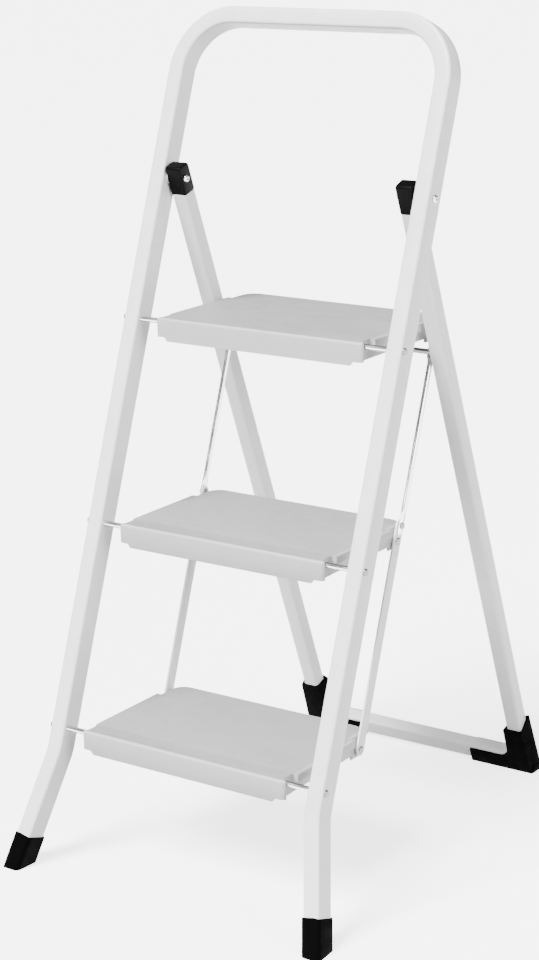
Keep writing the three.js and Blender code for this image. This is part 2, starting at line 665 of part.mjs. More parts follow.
// L-shaped rubber foot wrapped round each bottom corner of the rear tube.
function rearFoot(sign) {
  const { fillet } = REAR_FOOT;
  const outerX = REAR_CENTRE_FLOOR + REAR_TUBE.width / 2 + REAR_FOOT.outer_wall;
  const innerX = REAR_CENTRE_FLOOR - REAR_TUBE.width / 2 - REAR_FOOT.wall;
  const soleX = outerX + REAR_FOOT_SPREAD.width;
  const armEnd = REAR_CENTRE_FLOOR - REAR_FOOT.arm_length;
  const armTop = REAR_FOOT.arm_height / Math.cos(REAR_LEAN);
  const belowFloor = -REAR_TUBE.depth; // cut away again at the floor
  const block = new THREE.Shape();
  block.moveTo(armEnd, belowFloor);
  block.lineTo(soleX, belowFloor);
  block.lineTo(soleX, REAR_FOOT_SPREAD.height);
  block.lineTo(outerX, REAR_FOOT.height);
  block.lineTo(innerX, REAR_FOOT.height);
  block.absarc(innerX - fillet, armTop + fillet, fillet, 0, -Math.PI / 2, true);
  block.lineTo(armEnd, armTop);
  const depth = REAR_TUBE.depth + 2 * (REAR_FOOT.wall + GAP);
  const curveSegments = ARC_SEGMENTS;
  const body = new THREE.ExtrudeGeometry(block, { depth, bevelEnabled: false, curveSegments });
  body.rotateX(Math.PI / 2).translate(0, depth - REAR_FOOT.wall - GAP, 0);
  if (sign < 0) body.rotateZ(Math.PI).translate(0, REAR_TUBE.depth, 0);
  const tailBack = REAR_ORIGIN_Y + REAR_TUBE.depth + REAR_FOOT_TAIL.length;
  const tail = boxSolid(
    [sign > 0 ? innerX : -soleX, REAR_ORIGIN_Y, 0],
    [sign > 0 ? soleX : -innerX, tailBack, REAR_FOOT_TAIL.height],
  );
  return solidFrom(body.applyMatrix4(rearPlacement))
    .add(tail)
    .subtract(belowHeight(0))
    .subtract(rearTube(GAP, false));
}

// ---------------------------------------------------------------- links
// Builds in a frame whose Z runs up along the front legs and whose origin is the middle tread's link pin.
function placeLink(geometry) {
  const { pin } = MIDDLE_TREAD;
  return solidFrom(geometry.applyMatrix4(frontPlacement).translate(0, pin.y, pin.z));
}

// The lower half of a link: a flat bar with round ends.
function linkBar(sign) {
  const bottom = -PIN_SPACING;
  const half = LINK_BAR.width / 2;
  const outline = new THREE.Shape();
  outline.absarc(0, bottom, half, Math.PI, 2 * Math.PI);
  outline.absarc(0, LINK_BAR.above_pin - half, half, 0, Math.PI);
  const x = sign > 0 ? LINK_BAR_X : -LINK_BAR_X - LINK_BAR.thickness;
  const bar = placeLink(plateAcrossX(outline, x, { depth: LINK_BAR.thickness }));
  const holes = [MIDDLE_TREAD.pin, BOTTOM_TREAD.pin, SPLICE].map(rivetHole);
  return bar.subtract(union(holes));
}

function rivetHole(axis) {
  return crossBar(RIVET.shank / 2 + GAP, -FAR, FAR, axis);
}

// The upper half of a link: a round rod with a flattened lower end, bent inwards into the top tread.
function linkRod(sign) {
  const paddleTop = SPLICE_ABOVE_PIN + LINK_PADDLE.length / 2;
  const reachIn = LINK_ROD_X - (SIDE_WALL_X - SKIRT_WALL - LINK_ROD_END);
  const section = new THREE.Shape().absarc(0, 0, LINK_ROD_DIAMETER / 2, 0, 2 * Math.PI);
  const rodBottom = paddleTop - LINK_PADDLE.overlap;
  const start = new THREE.Vector3(sign * LINK_ROD_X, rodBottom, 0);
  const path = new BentPath(start, Math.PI / 2)
    .straight(PIN_SPACING - rodBottom - LINK_ROD_BEND)
    .bend((sign * Math.PI) / 2, LINK_ROD_BEND, BEND_PIECES.rod)
    .straight(reachIn - LINK_ROD_BEND);
  const rod = new THREE.ExtrudeGeometry(section, {
    steps: path.stations.length - 1,
    curveSegments: BAR_SEGMENTS,
    extrudePath: path,
  });
  const paddle = roundedRectangle(LINK_PADDLE.width, LINK_PADDLE.length, LINK_PADDLE.corner);
  const paddleX = sign > 0 ? LINK_PADDLE_X : -LINK_PADDLE_X - LINK_PADDLE.thickness;
  const flat = plateAcrossX(paddle, paddleX, { depth: LINK_PADDLE.thickness });
  flat.translate(0, 0, SPLICE_ABOVE_PIN);
  return placeLink(rod.rotateX(Math.PI / 2)).add(placeLink(flat)).subtract(rivetHole(SPLICE));
}

// A headed pin on one side of the stool.
function sidePin(sign, shank, head, headHeight, from, to, axis) {
  return turnedAboutX(headedPin(shank, head, headHeight, from, to), axis, sign < 0);
}

function linkRivet(sign, pin) {
  const from = SIDE_WALL_X - SKIRT_WALL - GAP;
  const to = LINK_BAR_X + LINK_BAR.thickness + GAP;
  return sidePin(sign, RIVET.shank, RIVET.head, RIVET.head_height, from, to, pin);
}

function spliceRivet(sign) {
  const from = LINK_BAR_X - GAP;
  const to = LINK_PADDLE_X + LINK_PADDLE.thickness + GAP;
  const { diameter, height } = SPLICE_RIVET_HEAD;
  return sidePin(sign, RIVET.shank, diameter, height, from, to, SPLICE);
}

function ringAboutX(outer, bore, from, to, axis, sign) {
  const profile = [
    [bore / 2, from],
    [outer / 2, from],
    [outer / 2, to],
    [bore / 2, to],
    [bore / 2, from],
  ];
  return turnedAboutX(profile, axis, sign < 0);
}

function linkWasher(sign, pin) {
  const from = SIDE_WALL_X + GAP;
  const bore = RIVET.shank + 2 * GAP;
  return ringAboutX(LINK_WASHER.diameter, bore, from, from + LINK_WASHER.thickness, pin, sign);
}

// ---------------------------------------------------------------- rear frame pivots
function pivotBolt(sign) {
  const from = REAR_OUTER_TOP - REAR_TUBE.width - GAP;
  const to = LEG_OUTER + GAP;
  return sidePin(sign, PIVOT_BOLT.shank, PIVOT_BOLT.head, PIVOT_BOLT.head_height, from, to, PIVOT);
}

function pivotWasher(sign) {
  const bore = PIVOT_BOLT.shank + 2 * GAP;
  const from = REAR_OUTER_TOP + GAP;
  return ringAboutX(PIVOT_WASHER_DIAMETER, bore, from, LEG_INNER - GAP, PIVOT, sign);
}

// ---------------------------------------------------------------- assembly
addPiece("front_frame", frontFrame(), PAINT);
addPiece("rear_frame", rearFrame(), PAINT);
addPiece("rear_rod", rearRod(), ZINC);
for (const entry of TREADS) {
  addPiece("tread_" + entry.name, tread(entry), TREAD_PLASTIC);
  addPiece("tread_rod_" + entry.name, treadRod(entry), ZINC);
}
for (const { side, sign } of SIDES) {
  addPiece("front_boot_" + side, frontBoot(sign), BLACK_RUBBER);
  addPiece("rear_foot_" + side, rearFoot(sign), BLACK_RUBBER);
  addPiece("rear_cap_" + side, rearCap(sign), BLACK_PLASTIC);
  addPiece("pivot_bolt_" + side, pivotBolt(sign), ZINC);
  addPiece("pivot_washer_" + side, pivotWasher(sign), NYLON);
  addPiece("link_bar_" + side, linkBar(sign), PAINT);
  addPiece("link_rod_" + side, linkRod(sign), ZINC);
  addPiece("link_splice_rivet_" + side, spliceRivet(sign), ZINC);
  for (const { name, pin } of [BOTTOM_TREAD, MIDDLE_TREAD]) {
    addPiece(`link_rivet_${name}_${side}`, linkRivet(sign, pin), ZINC);
    addPiece(`link_washer_${name}_${side}`, linkWasher(sign, pin), NYLON);
  }
}

// The reference point is on the floor, midway between the front and rear feet.
const footprint = new THREE.Box3().setFromObject(pieces);
pieces.position.y = -(footprint.min.y + footprint.max.y) / 2;

const stool = new THREE.Group();
stool.name = "step_stool";
stool.add(pieces);

export default stool;
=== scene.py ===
"""The look of a folding three-tread step stool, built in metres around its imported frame.

X runs across the treads, Y from the user's side to the rear stand, Z up from the floor.
"""

import json
import logging
import math
from collections.abc import Callable
from dataclasses import dataclass, replace
from enum import Enum

import bpy
from mathutils import Matrix, Vector


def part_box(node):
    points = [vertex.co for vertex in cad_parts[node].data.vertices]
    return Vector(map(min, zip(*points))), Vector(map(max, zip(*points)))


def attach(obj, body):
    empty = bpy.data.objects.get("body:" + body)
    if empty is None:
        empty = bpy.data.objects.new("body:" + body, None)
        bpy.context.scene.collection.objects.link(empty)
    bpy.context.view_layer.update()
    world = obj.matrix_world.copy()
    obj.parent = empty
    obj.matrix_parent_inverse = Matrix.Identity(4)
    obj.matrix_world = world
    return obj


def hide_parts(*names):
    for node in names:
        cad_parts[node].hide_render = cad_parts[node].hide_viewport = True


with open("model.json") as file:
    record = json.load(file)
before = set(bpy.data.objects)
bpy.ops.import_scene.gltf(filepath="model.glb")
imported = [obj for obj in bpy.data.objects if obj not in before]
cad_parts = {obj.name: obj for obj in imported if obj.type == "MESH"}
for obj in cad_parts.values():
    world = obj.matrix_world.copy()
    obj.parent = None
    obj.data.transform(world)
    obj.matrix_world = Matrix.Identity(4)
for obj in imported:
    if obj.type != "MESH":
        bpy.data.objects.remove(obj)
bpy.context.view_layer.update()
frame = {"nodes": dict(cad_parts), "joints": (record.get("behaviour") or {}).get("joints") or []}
LOG = logging.getLogger("step_stool")

MM = 0.001
QUARTER = math.pi / 2
NEAR = 0.01 * MM  # places closer than this are the same
MERGE = 0.002 * MM  # points closer than this are merged
FACING = 0.9  # the share of a normal that has to point a given way
SQUARE_ON = 0.99  # the share for a face that lies square across
CREASE = math.radians(40)  # edges sharper than this are broken
ROUND_SIDES = 32


class Side(Enum):
    """Which half of the stool a piece is on, seen by the user."""

    LEFT = -1
    RIGHT = 1

    @property
    def label(self) -> str:
        """The word that the side's node names end in."""
        return self.name.lower()


class Step(Enum):
    """The three treads, from the floor up."""

    BOTTOM = "bottom"
    MIDDLE = "middle"
    TOP = "top"


class Part(Enum):
    """What a selection in edit mode is made of."""

    FACE = "FACE"
    EDGE = "EDGE"
    POINT = "VERT"


# ---------------------------------------------------------------- places from the frame
def joint_place(name: str) -> Vector:
    """Returns the point that a joint turns about.

    Args:
        name: The joint's name in the record.

    Returns:
        The point in the stool's frame.
    """
    return Vector(next(j["pos_m"] for j in frame["joints"] if j["name"] == name))


def box_centre(node: str) -> Vector:
    """Returns the middle of a CAD node's box.

    Args:
        node: The node's name.

    Returns:
        The point in the stool's frame.
    """
    low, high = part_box(node)
    return (low + high) / 2


@dataclass(frozen=True)
class Layout:
    """Leans, origins and axes of the stool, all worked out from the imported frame."""

    rod_setback: float = 6.5 * MM
    rear_pivot_setback: float = 8 * MM

    def rod(self, step: Step) -> Vector:
        """Returns the axis point of a tread's rod."""
        return joint_place(f"{step.value}_step_fold")

    @property
    def pivot(self) -> Vector:
        """The axis point of the rear frame's pivot."""
        return joint_place("rear_stand_fold")

    @property
    def front_lean(self) -> float:
        """How far the front frame leans back from upright."""
        run = self.rod(Step.TOP) - self.rod(Step.BOTTOM)
        return math.atan2(run.y, run.z)

    @property
    def rear_lean(self) -> float:
        """How far the rear frame leans forward from upright."""
        run = box_centre("rear_rod") - self.pivot
        return math.atan2(run.y, -run.z)

    @property
    def front(self) -> Matrix:
        """Places (across, depth, along) of the front frame in the stool's frame."""
        lean, rod = self.front_lean, self.rod(Step.BOTTOM)
        start = rod.y - (self.rod_setback + rod.z * math.sin(lean)) / math.cos(lean)
        return Matrix.Translation((0, start, 0)) @ Matrix.Rotation(-lean, 4, "X")

    @property
    def rear(self) -> Matrix:
        """Places (across, depth, along) of the rear frame in the stool's frame."""
        lean, pivot = self.rear_lean, self.pivot
        start = pivot.y - (self.rear_pivot_setback - pivot.z * math.sin(lean)) / math.cos(lean)
        return Matrix.Translation((0, start, 0)) @ Matrix.Rotation(lean, 4, "X")


LAYOUT = Layout()


# ---------------------------------------------------------------- work at the bench
def deselect() -> None:
    """Leaves edit mode and deselects everything."""
    if bpy.context.object and bpy.context.object.mode != "OBJECT":
        bpy.ops.object.mode_set(mode="OBJECT")
    bpy.ops.object.select_all(action="DESELECT")


def take(piece: bpy.types.Object) -> None:
    """Makes one piece the only selected and active one.

    Args:
        piece: The piece.
    """
    deselect()
    piece.select_set(True)
    bpy.context.view_layer.objects.active = piece


def pick(piece: bpy.types.Object, part: Part, test: Callable[[Vector, Vector], bool]) -> None:
    """Enters edit mode with only some faces, edges or points selected.

    Args:
        piece: The mesh to work on.
        part: Whether faces, edges or points are picked.
        test: Gets a face's centre and normal, a point's place and normal, or an edge's two ends.
    """
    take(piece)
    bpy.ops.object.mode_set(mode="EDIT")
    bpy.ops.mesh.select_mode(type=part.value)
    bpy.ops.mesh.select_all(action="DESELECT")
    bpy.ops.object.mode_set(mode="OBJECT")
    mesh = piece.data
    if part is Part.FACE:
        for face in mesh.polygons:
            face.select = test(face.center, face.normal)
    elif part is Part.POINT:
        for point in mesh.vertices:
            point.select = test(point.co, point.normal)
    else:
        for edge in mesh.edges:
            a, b = (mesh.vertices[i].co for i in edge.vertices)
            edge.select = test(a, b)
    bpy.ops.object.mode_set(mode="EDIT")


def push(by: tuple[float, float, float]) -> None:
    """Extrudes the selected faces by a vector."""
    bpy.ops.mesh.extrude_region_move(TRANSFORM_OT_translate={"value": by})


def settle(piece: bpy.types.Object, place: Matrix | None = None) -> bpy.types.Object:
    """Puts a piece in its place and leaves its object at the origin.

    Args:
        piece: The mesh to place.
        place: Where its own frame goes in the stool's frame, or None to leave it.

    Returns:
        The same piece.
    """
    take(piece)
    if place is not None:
        piece.matrix_world = place @ piece.matrix_world
    bpy.ops.object.transform_apply(location=True, rotation=True, scale=True)
    return piece


def face_outwards(piece: bpy.types.Object) -> None:
    """Merges doubles and turns every face outwards.

    Args:
        piece: The closed mesh to work on.
    """
    take(piece)
    bpy.ops.object.mode_set(mode="EDIT")
    bpy.ops.mesh.select_all(action="SELECT")
    bpy.ops.mesh.remove_doubles(threshold=MERGE)
    bpy.ops.mesh.normals_make_consistent(inside=False)
    bpy.ops.object.mode_set(mode="OBJECT")


def apply(piece: bpy.types.Object, kind: str, **settings: object) -> None:
    """Adds a modifier, sets it and applies it.

    Args:
        piece: The mesh that gets it.
        kind: Blender's name for the modifier.
        **settings: Its properties.
    """
    take(piece)
    modifier = piece.modifiers.new(kind.lower(), kind)
    for name, value in settings.items():
        setattr(modifier, name, value)
    bpy.ops.object.modifier_apply(modifier=modifier.name)


def combine(piece: bpy.types.Object, tool: bpy.types.Object, operation: str) -> None:
    """Cuts a tool from a piece or joins it on, and removes the tool.

    Args:
        piece: The mesh that is kept.
        tool: The mesh that is used up.
        operation: DIFFERENCE, UNION or INTERSECT.
    """
    apply(piece, "BOOLEAN", object=tool, operation=operation, solver="EXACT")
    bpy.data.objects.remove(tool)


def block(name: str, low: Vector, high: Vector) -> bpy.types.Object:
    """Returns a box between two corners.

    Args:
        name: The piece's name.
        low: Its lowest corner.
        high: Its highest corner.

    Returns:
        The new mesh object.
    """
    deselect()
    bpy.ops.mesh.primitive_cube_add(size=1, location=(low + high) / 2)
    made = bpy.context.object
    made.name = name
    made.scale = high - low
    return settle(made)


def round_bar(name: str, middle: Vector, radius: float, length: float) -> bpy.types.Object:
    """Returns a round bar along X.

    Args:
        name: The piece's name.
        middle: The middle of the bar.
        radius: Its radius.
        length: Its length.

    Returns:
        The new mesh object.
    """
    deselect()
    bpy.ops.mesh.primitive_cylinder_add(vertices=ROUND_SIDES, radius=radius, depth=length,
                                        location=middle, rotation=(0, QUARTER, 0))
    made = bpy.context.object
    made.name = name
    return settle(made)


def round_edges(piece: bpy.types.Object, radius: float, segments: int,
                test: Callable[[Vector, Vector], bool]) -> None:
    """Rounds the edges that pass a test.

    Args:
        piece: The mesh to work on.
        radius: The round's radius.
        segments: How many faces make the round.
        test: Gets an edge's two ends.
    """
    pick(piece, Part.EDGE, test)
    bpy.ops.mesh.bevel(offset=radius, segments=segments, affect="EDGES", clamp_overlap=True)
    bpy.ops.object.mode_set(mode="OBJECT")


def finish_edges(piece: bpy.types.Object, width: float, segments: int = 2) -> None:
    """Breaks every sharp edge by a small width and shades the piece smooth.

    Args:
        piece: The mesh to work on.
        width: The round's width.
        segments: How many faces make the round.
    """
    face_outwards(piece)
    apply(piece, "BEVEL", width=width, segments=segments, limit_method="ANGLE",
          angle_limit=CREASE, use_clamp_overlap=True)
    smooth(piece)


def smooth(piece: bpy.types.Object, angle: float = 32) -> None:
    """Shades a piece smooth where its faces meet at less than an angle in degrees."""
    take(piece)
    bpy.ops.object.shade_smooth_by_angle(angle=math.radians(angle))


def copy_of(piece: bpy.types.Object, name: str, place: Matrix) -> bpy.types.Object:
    """Returns a copy with its own mesh at another place.

    Args:
        piece: The mesh to copy.
        name: The copy's name.
        place: What its points are moved by. A mirroring place is allowed.

    Returns:
        The new mesh object.
    """
    made = piece.copy()
    made.data = piece.data.copy()
    made.name = name
    bpy.context.scene.collection.objects.link(made)
    settle(made, place)
    if place.determinant() < 0:
        face_outwards(made)
    return made


MIRROR = Matrix.Scale(-1, 4, (1, 0, 0))


@dataclass(frozen=True)
class Section:
    """A tube's outside, as it is drawn across its path."""

    width: float
    depth: float
    corner: float

    def grown(self, by: float) -> "Section":
        """Returns the section drawn out by a distance all round."""
        return Section(self.width + 2 * by, self.depth + 2 * by, self.corner + by)


class BentTube:
    """A tube made by extruding and spinning its section along a path in its own XZ plane."""

    CORNER_SEGMENTS = 6

    def __init__(self, name: str, section: Section, start: Vector, heading: float,
                 depth_middle: float) -> None:
        """Draws the section at the start of the path.

        Args:
            name: The piece's name.
            section: The tube's outside.
            start: Where the path starts, as (x, z).
            heading: Which way it starts, from +X towards +Z.
            depth_middle: The y of the path's plane.
        """
        deselect()
        self.depth_middle = depth_middle
        self.point = Vector((start.x, start.y))
        self.heading = heading
        bpy.ops.mesh.primitive_plane_add(size=1, location=(start.x, depth_middle, start.y),
                                         rotation=(0, QUARTER - heading, 0))
        self.piece = bpy.context.object
        self.piece.name = name
        self.piece.scale = (section.width, section.depth, 1)
        settle(self.piece)
        bpy.ops.object.mode_set(mode="EDIT")
        bpy.ops.mesh.select_all(action="SELECT")
        bpy.ops.mesh.bevel(offset=section.corner, segments=self.CORNER_SEGMENTS, affect="VERTICES")
        bpy.ops.mesh.select_mode(type="FACE")

    def straight(self, length: float) -> "BentTube":
        """Extrudes the end by a length along the heading.

        Args:
            length: How far it goes.

        Returns:
            The same tube.
        """
        step = Vector((math.cos(self.heading), math.sin(self.heading))) * length
        push((step.x, 0, step.y))
        self.point += step
        return self

    def bend(self, angle: float, radius: float, steps: int) -> "BentTube":
        """Spins the end round an arc.

        Args:
            angle: How far it turns, from +X towards +Z if positive.
            radius: The arc's radius on the centre line.
            steps: How many pieces make the arc.

        Returns:
            The same tube.
        """
        side = math.copysign(1, angle)
        spoke = Vector((-math.sin(self.heading), math.cos(self.heading))) * side * radius
        centre = self.point + spoke
        bpy.ops.mesh.spin(steps=steps, angle=angle, axis=(0, 1, 0),
                          center=(centre.x, self.depth_middle, centre.y))
        self.heading += angle
        turned = Matrix.Rotation(angle, 2) @ -spoke
        self.point = centre + turned
        return self

    def done(self, place: Matrix) -> bpy.types.Object:
        """Ends the path and puts the tube in its place.

        Args:
            place: Where the tube's own frame goes.

        Returns:
            The finished mesh object.
        """
        bpy.ops.object.mode_set(mode="OBJECT")
        settle(self.piece, place)
        face_outwards(self.piece)
        smooth(self.piece)
        return self.piece


@dataclass(frozen=True)
class HeadedPin:
    """A round pin along X with a domed head on each end."""

    shank: float
    head: float
    head_height: float
    socket: float = 0.0
    rim_share: float = 0.8
    rim_steps: int = 5

    def build(self, name: str, start: float, end: float, axis: Vector) -> bpy.types.Object:
        """Builds the pin.

        Args:
            name: The piece's name.
            start: The x under one head.
            end: The x under the other head.
            axis: Any point on its axis.

        Returns:
            The new mesh object.
        """
        middle = Vector(((start + end) / 2, axis.y, axis.z))
        made = round_bar(name, middle, self.shank / 2, end - start)
        for sign in (-1, 1):
            self._head(made, sign, end if sign > 0 else start, axis)
        face_outwards(made)
        smooth(made, 40)
        return made

    def _head(self, made: bpy.types.Object, sign: int, under: float, axis: Vector) -> None:
        """Draws one head out of an end of the shank and rounds its rim.

        Args:
            made: The pin's mesh.
            sign: Which end, -1 or 1.
            under: The x under the head.
            axis: Any point on the pin's axis.
        """
        grow = self.head / self.shank
        pick(made, Part.FACE, lambda centre, normal: normal.x * sign > FACING
             and abs(centre.x - under) < NEAR)
        push((0, 0, 0))
        bpy.ops.transform.resize(value=(1, grow, grow), center_override=(under, axis.y, axis.z))
        push((sign * self.head_height, 0, 0))
        top = under + sign * self.head_height
        round_edges(made, self.head_height * self.rim_share, self.rim_steps,
                    lambda a, b: abs(a.x - top) < NEAR and abs(b.x - top) < NEAR)
        if self.socket > 0:
            pick(made, Part.FACE, lambda centre, normal: abs(centre.x - top) < NEAR)
            push((-sign * self.socket, 0, 0))


# ---------------------------------------------------------------- finishes
class Canvas:
    """A node tree that is being drawn."""

    NOISE_LOW = 0.35
    NOISE_HIGH = 0.65

    def __init__(self, tree: bpy.types.NodeTree) -> None:
        """Starts on an empty tree."""
        self.tree = tree

    def add(self, kind: str, **values: object) -> bpy.types.Node:
        """Adds a node.

        Args:
            kind: Blender's name for the node.
            **values: Its properties.

        Returns:
            The new node.
        """
        node = self.tree.nodes.new(kind)
        for name, value in values.items():
            setattr(node, name, value)
        return node

    def join(self, source: bpy.types.NodeSocket, target: bpy.types.NodeSocket) -> None:
        """Links two sockets."""
        self.tree.links.new(source, target)

    def mapped(self, value: bpy.types.NodeSocket, low: float, high: float) -> bpy.types.NodeSocket:
        """Spreads a 0 to 1 value between two others.

        Args:
            value: The value to spread.
            low: What NOISE_LOW and less becomes.
            high: What NOISE_HIGH and more becomes.

        Returns:
            The socket of the result.
        """
        node = self.add("ShaderNodeMapRange")
        node.inputs["From Min"].default_value = self.NOISE_LOW
        node.inputs["From Max"].default_value = self.NOISE_HIGH
        node.inputs["To Min"].default_value = low
        node.inputs["To Max"].default_value = high
        self.join(value, node.inputs["Value"])
        return node.outputs["Result"]

    def scaled(self, color: bpy.types.NodeSocket, by: bpy.types.NodeSocket) -> bpy.types.NodeSocket:
        """Multiplies a colour by a value.

        Args:
            color: The colour.
            by: The value.

        Returns:
            The socket of the result.
        """
        node = self.add("ShaderNodeVectorMath", operation="SCALE")
        self.join(color, node.inputs[0])
        self.join(by, node.inputs["Scale"])
        return node.outputs[0]


class SurfaceGroup:
    """The shared node group that gives a surface its tone, scuffs and fine relief."""

    NAME = "moulded_surface"
    INPUTS = {"Tone Scale": 9.0, "Grain Scale": 900.0, "Scuff Scale": 60.0, "Relief": 0.1}
    STRETCH = "Stretch"
    DETAIL = {"Tone": 3.0, "Grain": 2.0, "Scuff": 8.0}
    RELIEF_HEIGHT = 0.1 * MM

    @classmethod
    def get(cls) -> bpy.types.NodeTree:
        """Returns the group, built the first time it is asked for."""
        return bpy.data.node_groups.get(cls.NAME) or cls._build()

    @classmethod
    def _build(cls) -> bpy.types.NodeTree:
        """Draws the group's nodes.

        Returns:
            The finished group.
        """
        tree = bpy.data.node_groups.new(cls.NAME, "ShaderNodeTree")
        cls._sockets(tree)
        canvas = Canvas(tree)
        inputs = canvas.add("NodeGroupInput")
        outputs = canvas.add("NodeGroupOutput")
        grain = cls._noises(canvas, inputs, outputs)
        bump = canvas.add("ShaderNodeBump")
        bump.inputs["Distance"].default_value = cls.RELIEF_HEIGHT
        canvas.join(grain.outputs["Fac"], bump.inputs["Height"])
        canvas.join(inputs.outputs["Relief"], bump.inputs["Strength"])
        canvas.join(bump.outputs["Normal"], outputs.inputs["Normal"])
        return tree

    @classmethod
    def _sockets(cls, tree: bpy.types.NodeTree) -> None:
        """Gives the group its inputs and outputs.

        Args:
            tree: The new group.
        """
        add = tree.interface.new_socket
        for name, value in cls.INPUTS.items():
            add(name, in_out="INPUT", socket_type="NodeSocketFloat").default_value = value
        stretch = add(cls.STRETCH, in_out="INPUT", socket_type="NodeSocketVector")
        stretch.default_value = (1, 1, 1)
        for name in cls.DETAIL:
            add(name, in_out="OUTPUT", socket_type="NodeSocketFloat")
        add("Normal", in_out="OUTPUT", socket_type="NodeSocketVector")

    @classmethod
    def _noises(cls, canvas: Canvas, inputs: bpy.types.Node, outputs: bpy.types.Node) -> bpy.types.Node:
        """Draws one noise for each output, with the grain's stretched.

        Args:
            canvas: The group's canvas.
            inputs: The group's input node.
            outputs: The group's output node.

        Returns:
            The grain's noise node.
        """
        place = canvas.add("ShaderNodeTexCoord")
        stretched = canvas.add("ShaderNodeVectorMath", operation="MULTIPLY")
        canvas.join(place.outputs["Object"], stretched.inputs[0])
        canvas.join(inputs.outputs[cls.STRETCH], stretched.inputs[1])
        noises = {}
        for name, detail in cls.DETAIL.items():
            noise = canvas.add("ShaderNodeTexNoise")
            noise.inputs["Detail"].default_value = detail
            source = stretched.outputs[0] if name == "Grain" else place.outputs["Object"]
            canvas.join(source, noise.inputs["Vector"])
            canvas.join(inputs.outputs[f"{name} Scale"], noise.inputs["Scale"])
            canvas.join(noise.outputs["Fac"], outputs.inputs[name])
            noises[name] = noise
        return noises["Grain"]


@dataclass(frozen=True)
class Finish:
    """One finish of the stool, as a material built from the shared surface group."""

    slot: str
    color: tuple[float, float, float]
    roughness: tuple[float, float]
    tone: float = 0.03
    scuff: float = 0.05
    grain_scale: float = 900.0
    tone_scale: float = 9.0
    scuff_scale: float = 60.0
    relief: float = 0.1
    metallic: float = 0.0
    coat: float = 0.0
    specular: float = 0.5
    # Share of the colour kept where the surface turns away; below 1 this paints reflection shade.
    rim: float = 1.0
    # Share of the colour kept on level tops; below 1 this paints shade.
    top: float = 1.0
    stretch: tuple[float, float, float] = (1.0, 1.0, 1.0)
    suffix: str = ""
    COAT_ROUGHNESS = 0.25
    LEVEL_NORMAL = 0.995
    RIM_BLEND = 0.35

    def material(self) -> bpy.types.Material:
        """Returns this finish's material, built the first time it is asked for."""
        name = self.slot + self.suffix
        return bpy.data.materials.get("finish_" + name) or self._build("finish_" + name)

    def _build(self, name: str) -> bpy.types.Material:
        """Draws the material's nodes.

        Args:
            name: The material's name.

        Returns:
            The new material.
        """
        made = bpy.data.materials.new(name)
        made.use_nodes = True
        made.diffuse_color = (*self.color, 1)
        canvas = Canvas(made.node_tree)
        shader = made.node_tree.nodes["Principled BSDF"]
        surface = self._surface(canvas)
        canvas.join(self._colored(canvas, surface), shader.inputs["Base Color"])
        gloss = canvas.mapped(surface.outputs["Scuff"], *self.roughness)
        canvas.join(gloss, shader.inputs["Roughness"])
        canvas.join(surface.outputs["Normal"], shader.inputs["Normal"])
        shader.inputs["Metallic"].default_value = self.metallic
        shader.inputs["Coat Weight"].default_value = self.coat
        shader.inputs["Coat Roughness"].default_value = self.COAT_ROUGHNESS
        shader.inputs["Specular IOR Level"].default_value = self.specular
        return made

    def _surface(self, canvas: Canvas) -> bpy.types.Node:
        """Places the shared surface group with this finish's own values.

        Args:
            canvas: The material's canvas.

        Returns:
            The group's node.
        """
        surface = canvas.add("ShaderNodeGroup", node_tree=SurfaceGroup.get())
        surface.inputs["Tone Scale"].default_value = self.tone_scale
        surface.inputs["Grain Scale"].default_value = self.grain_scale
        surface.inputs["Scuff Scale"].default_value = self.scuff_scale
        surface.inputs["Relief"].default_value = self.relief
        surface.inputs[SurfaceGroup.STRETCH].default_value = self.stretch
        return surface

    def _colored(self, canvas: Canvas, surface: bpy.types.Node) -> bpy.types.NodeSocket:
        """Varies the finish's colour by its tone and scuffs, and by painted shade on turned-away faces
        and level tops where the finish asks for it.

        Args:
            canvas: The material's canvas.
            surface: The surface group's node.

        Returns:
            The socket of the colour.
        """
        shade = canvas.mapped(surface.outputs["Tone"], 1 - self.tone, 1 + self.tone)
        worn = canvas.mapped(surface.outputs["Scuff"], 1 - self.scuff, 1.0)
        both = canvas.add("ShaderNodeMath", operation="MULTIPLY")
        canvas.join(shade, both.inputs[0])
        canvas.join(worn, both.inputs[1])
        tint = canvas.add("ShaderNodeVectorMath", operation="SCALE")
        tint.inputs[0].default_value = self.color
        canvas.join(both.outputs[0], tint.inputs["Scale"])
        color = tint.outputs[0]
        # Painted reflection shade where the surface turns away.
        if self.rim < 1:
            color = self._painted_edge_reflection(canvas, color)
        # Painted shade on level tops.
        if self.top < 1:
            color = self._painted_top_shade(canvas, color)
        return color

    def _painted_top_shade(self, canvas: Canvas, color: bpy.types.NodeSocket) -> bpy.types.NodeSocket:
        """Darkens a colour on level tops, as painted shade for the dimmer light on the decks.

        Args:
            canvas: The material's canvas.
            color: The colour to darken.

        Returns:
            The socket of the darkened colour.
        """
        geometry = canvas.add("ShaderNodeNewGeometry")
        split = canvas.add("ShaderNodeSeparateXYZ")
        canvas.join(geometry.outputs["True Normal"], split.inputs[0])
        level_faces = canvas.add("ShaderNodeMath", operation="GREATER_THAN")
        level_faces.inputs[1].default_value = self.LEVEL_NORMAL
        canvas.join(split.outputs["Z"], level_faces.inputs[0])
        shade = canvas.mapped(level_faces.outputs[0], 1.0, self.top)
        return canvas.scaled(color, shade)

    def _painted_edge_reflection(self, canvas: Canvas, color: bpy.types.NodeSocket) -> bpy.types.NodeSocket:
        """Darkens a colour where the surface turns away, as painted reflection shade: the dark edges
        that polished metal shows in a bright room.

        Args:
            canvas: The material's canvas.
            color: The colour to darken.

        Returns:
            The socket of the darkened colour.
        """
        facing = canvas.add("ShaderNodeLayerWeight")
        facing.inputs["Blend"].default_value = self.RIM_BLEND
        fade = canvas.mapped(facing.outputs["Facing"], 1.0, self.rim)
        return canvas.scaled(color, fade)


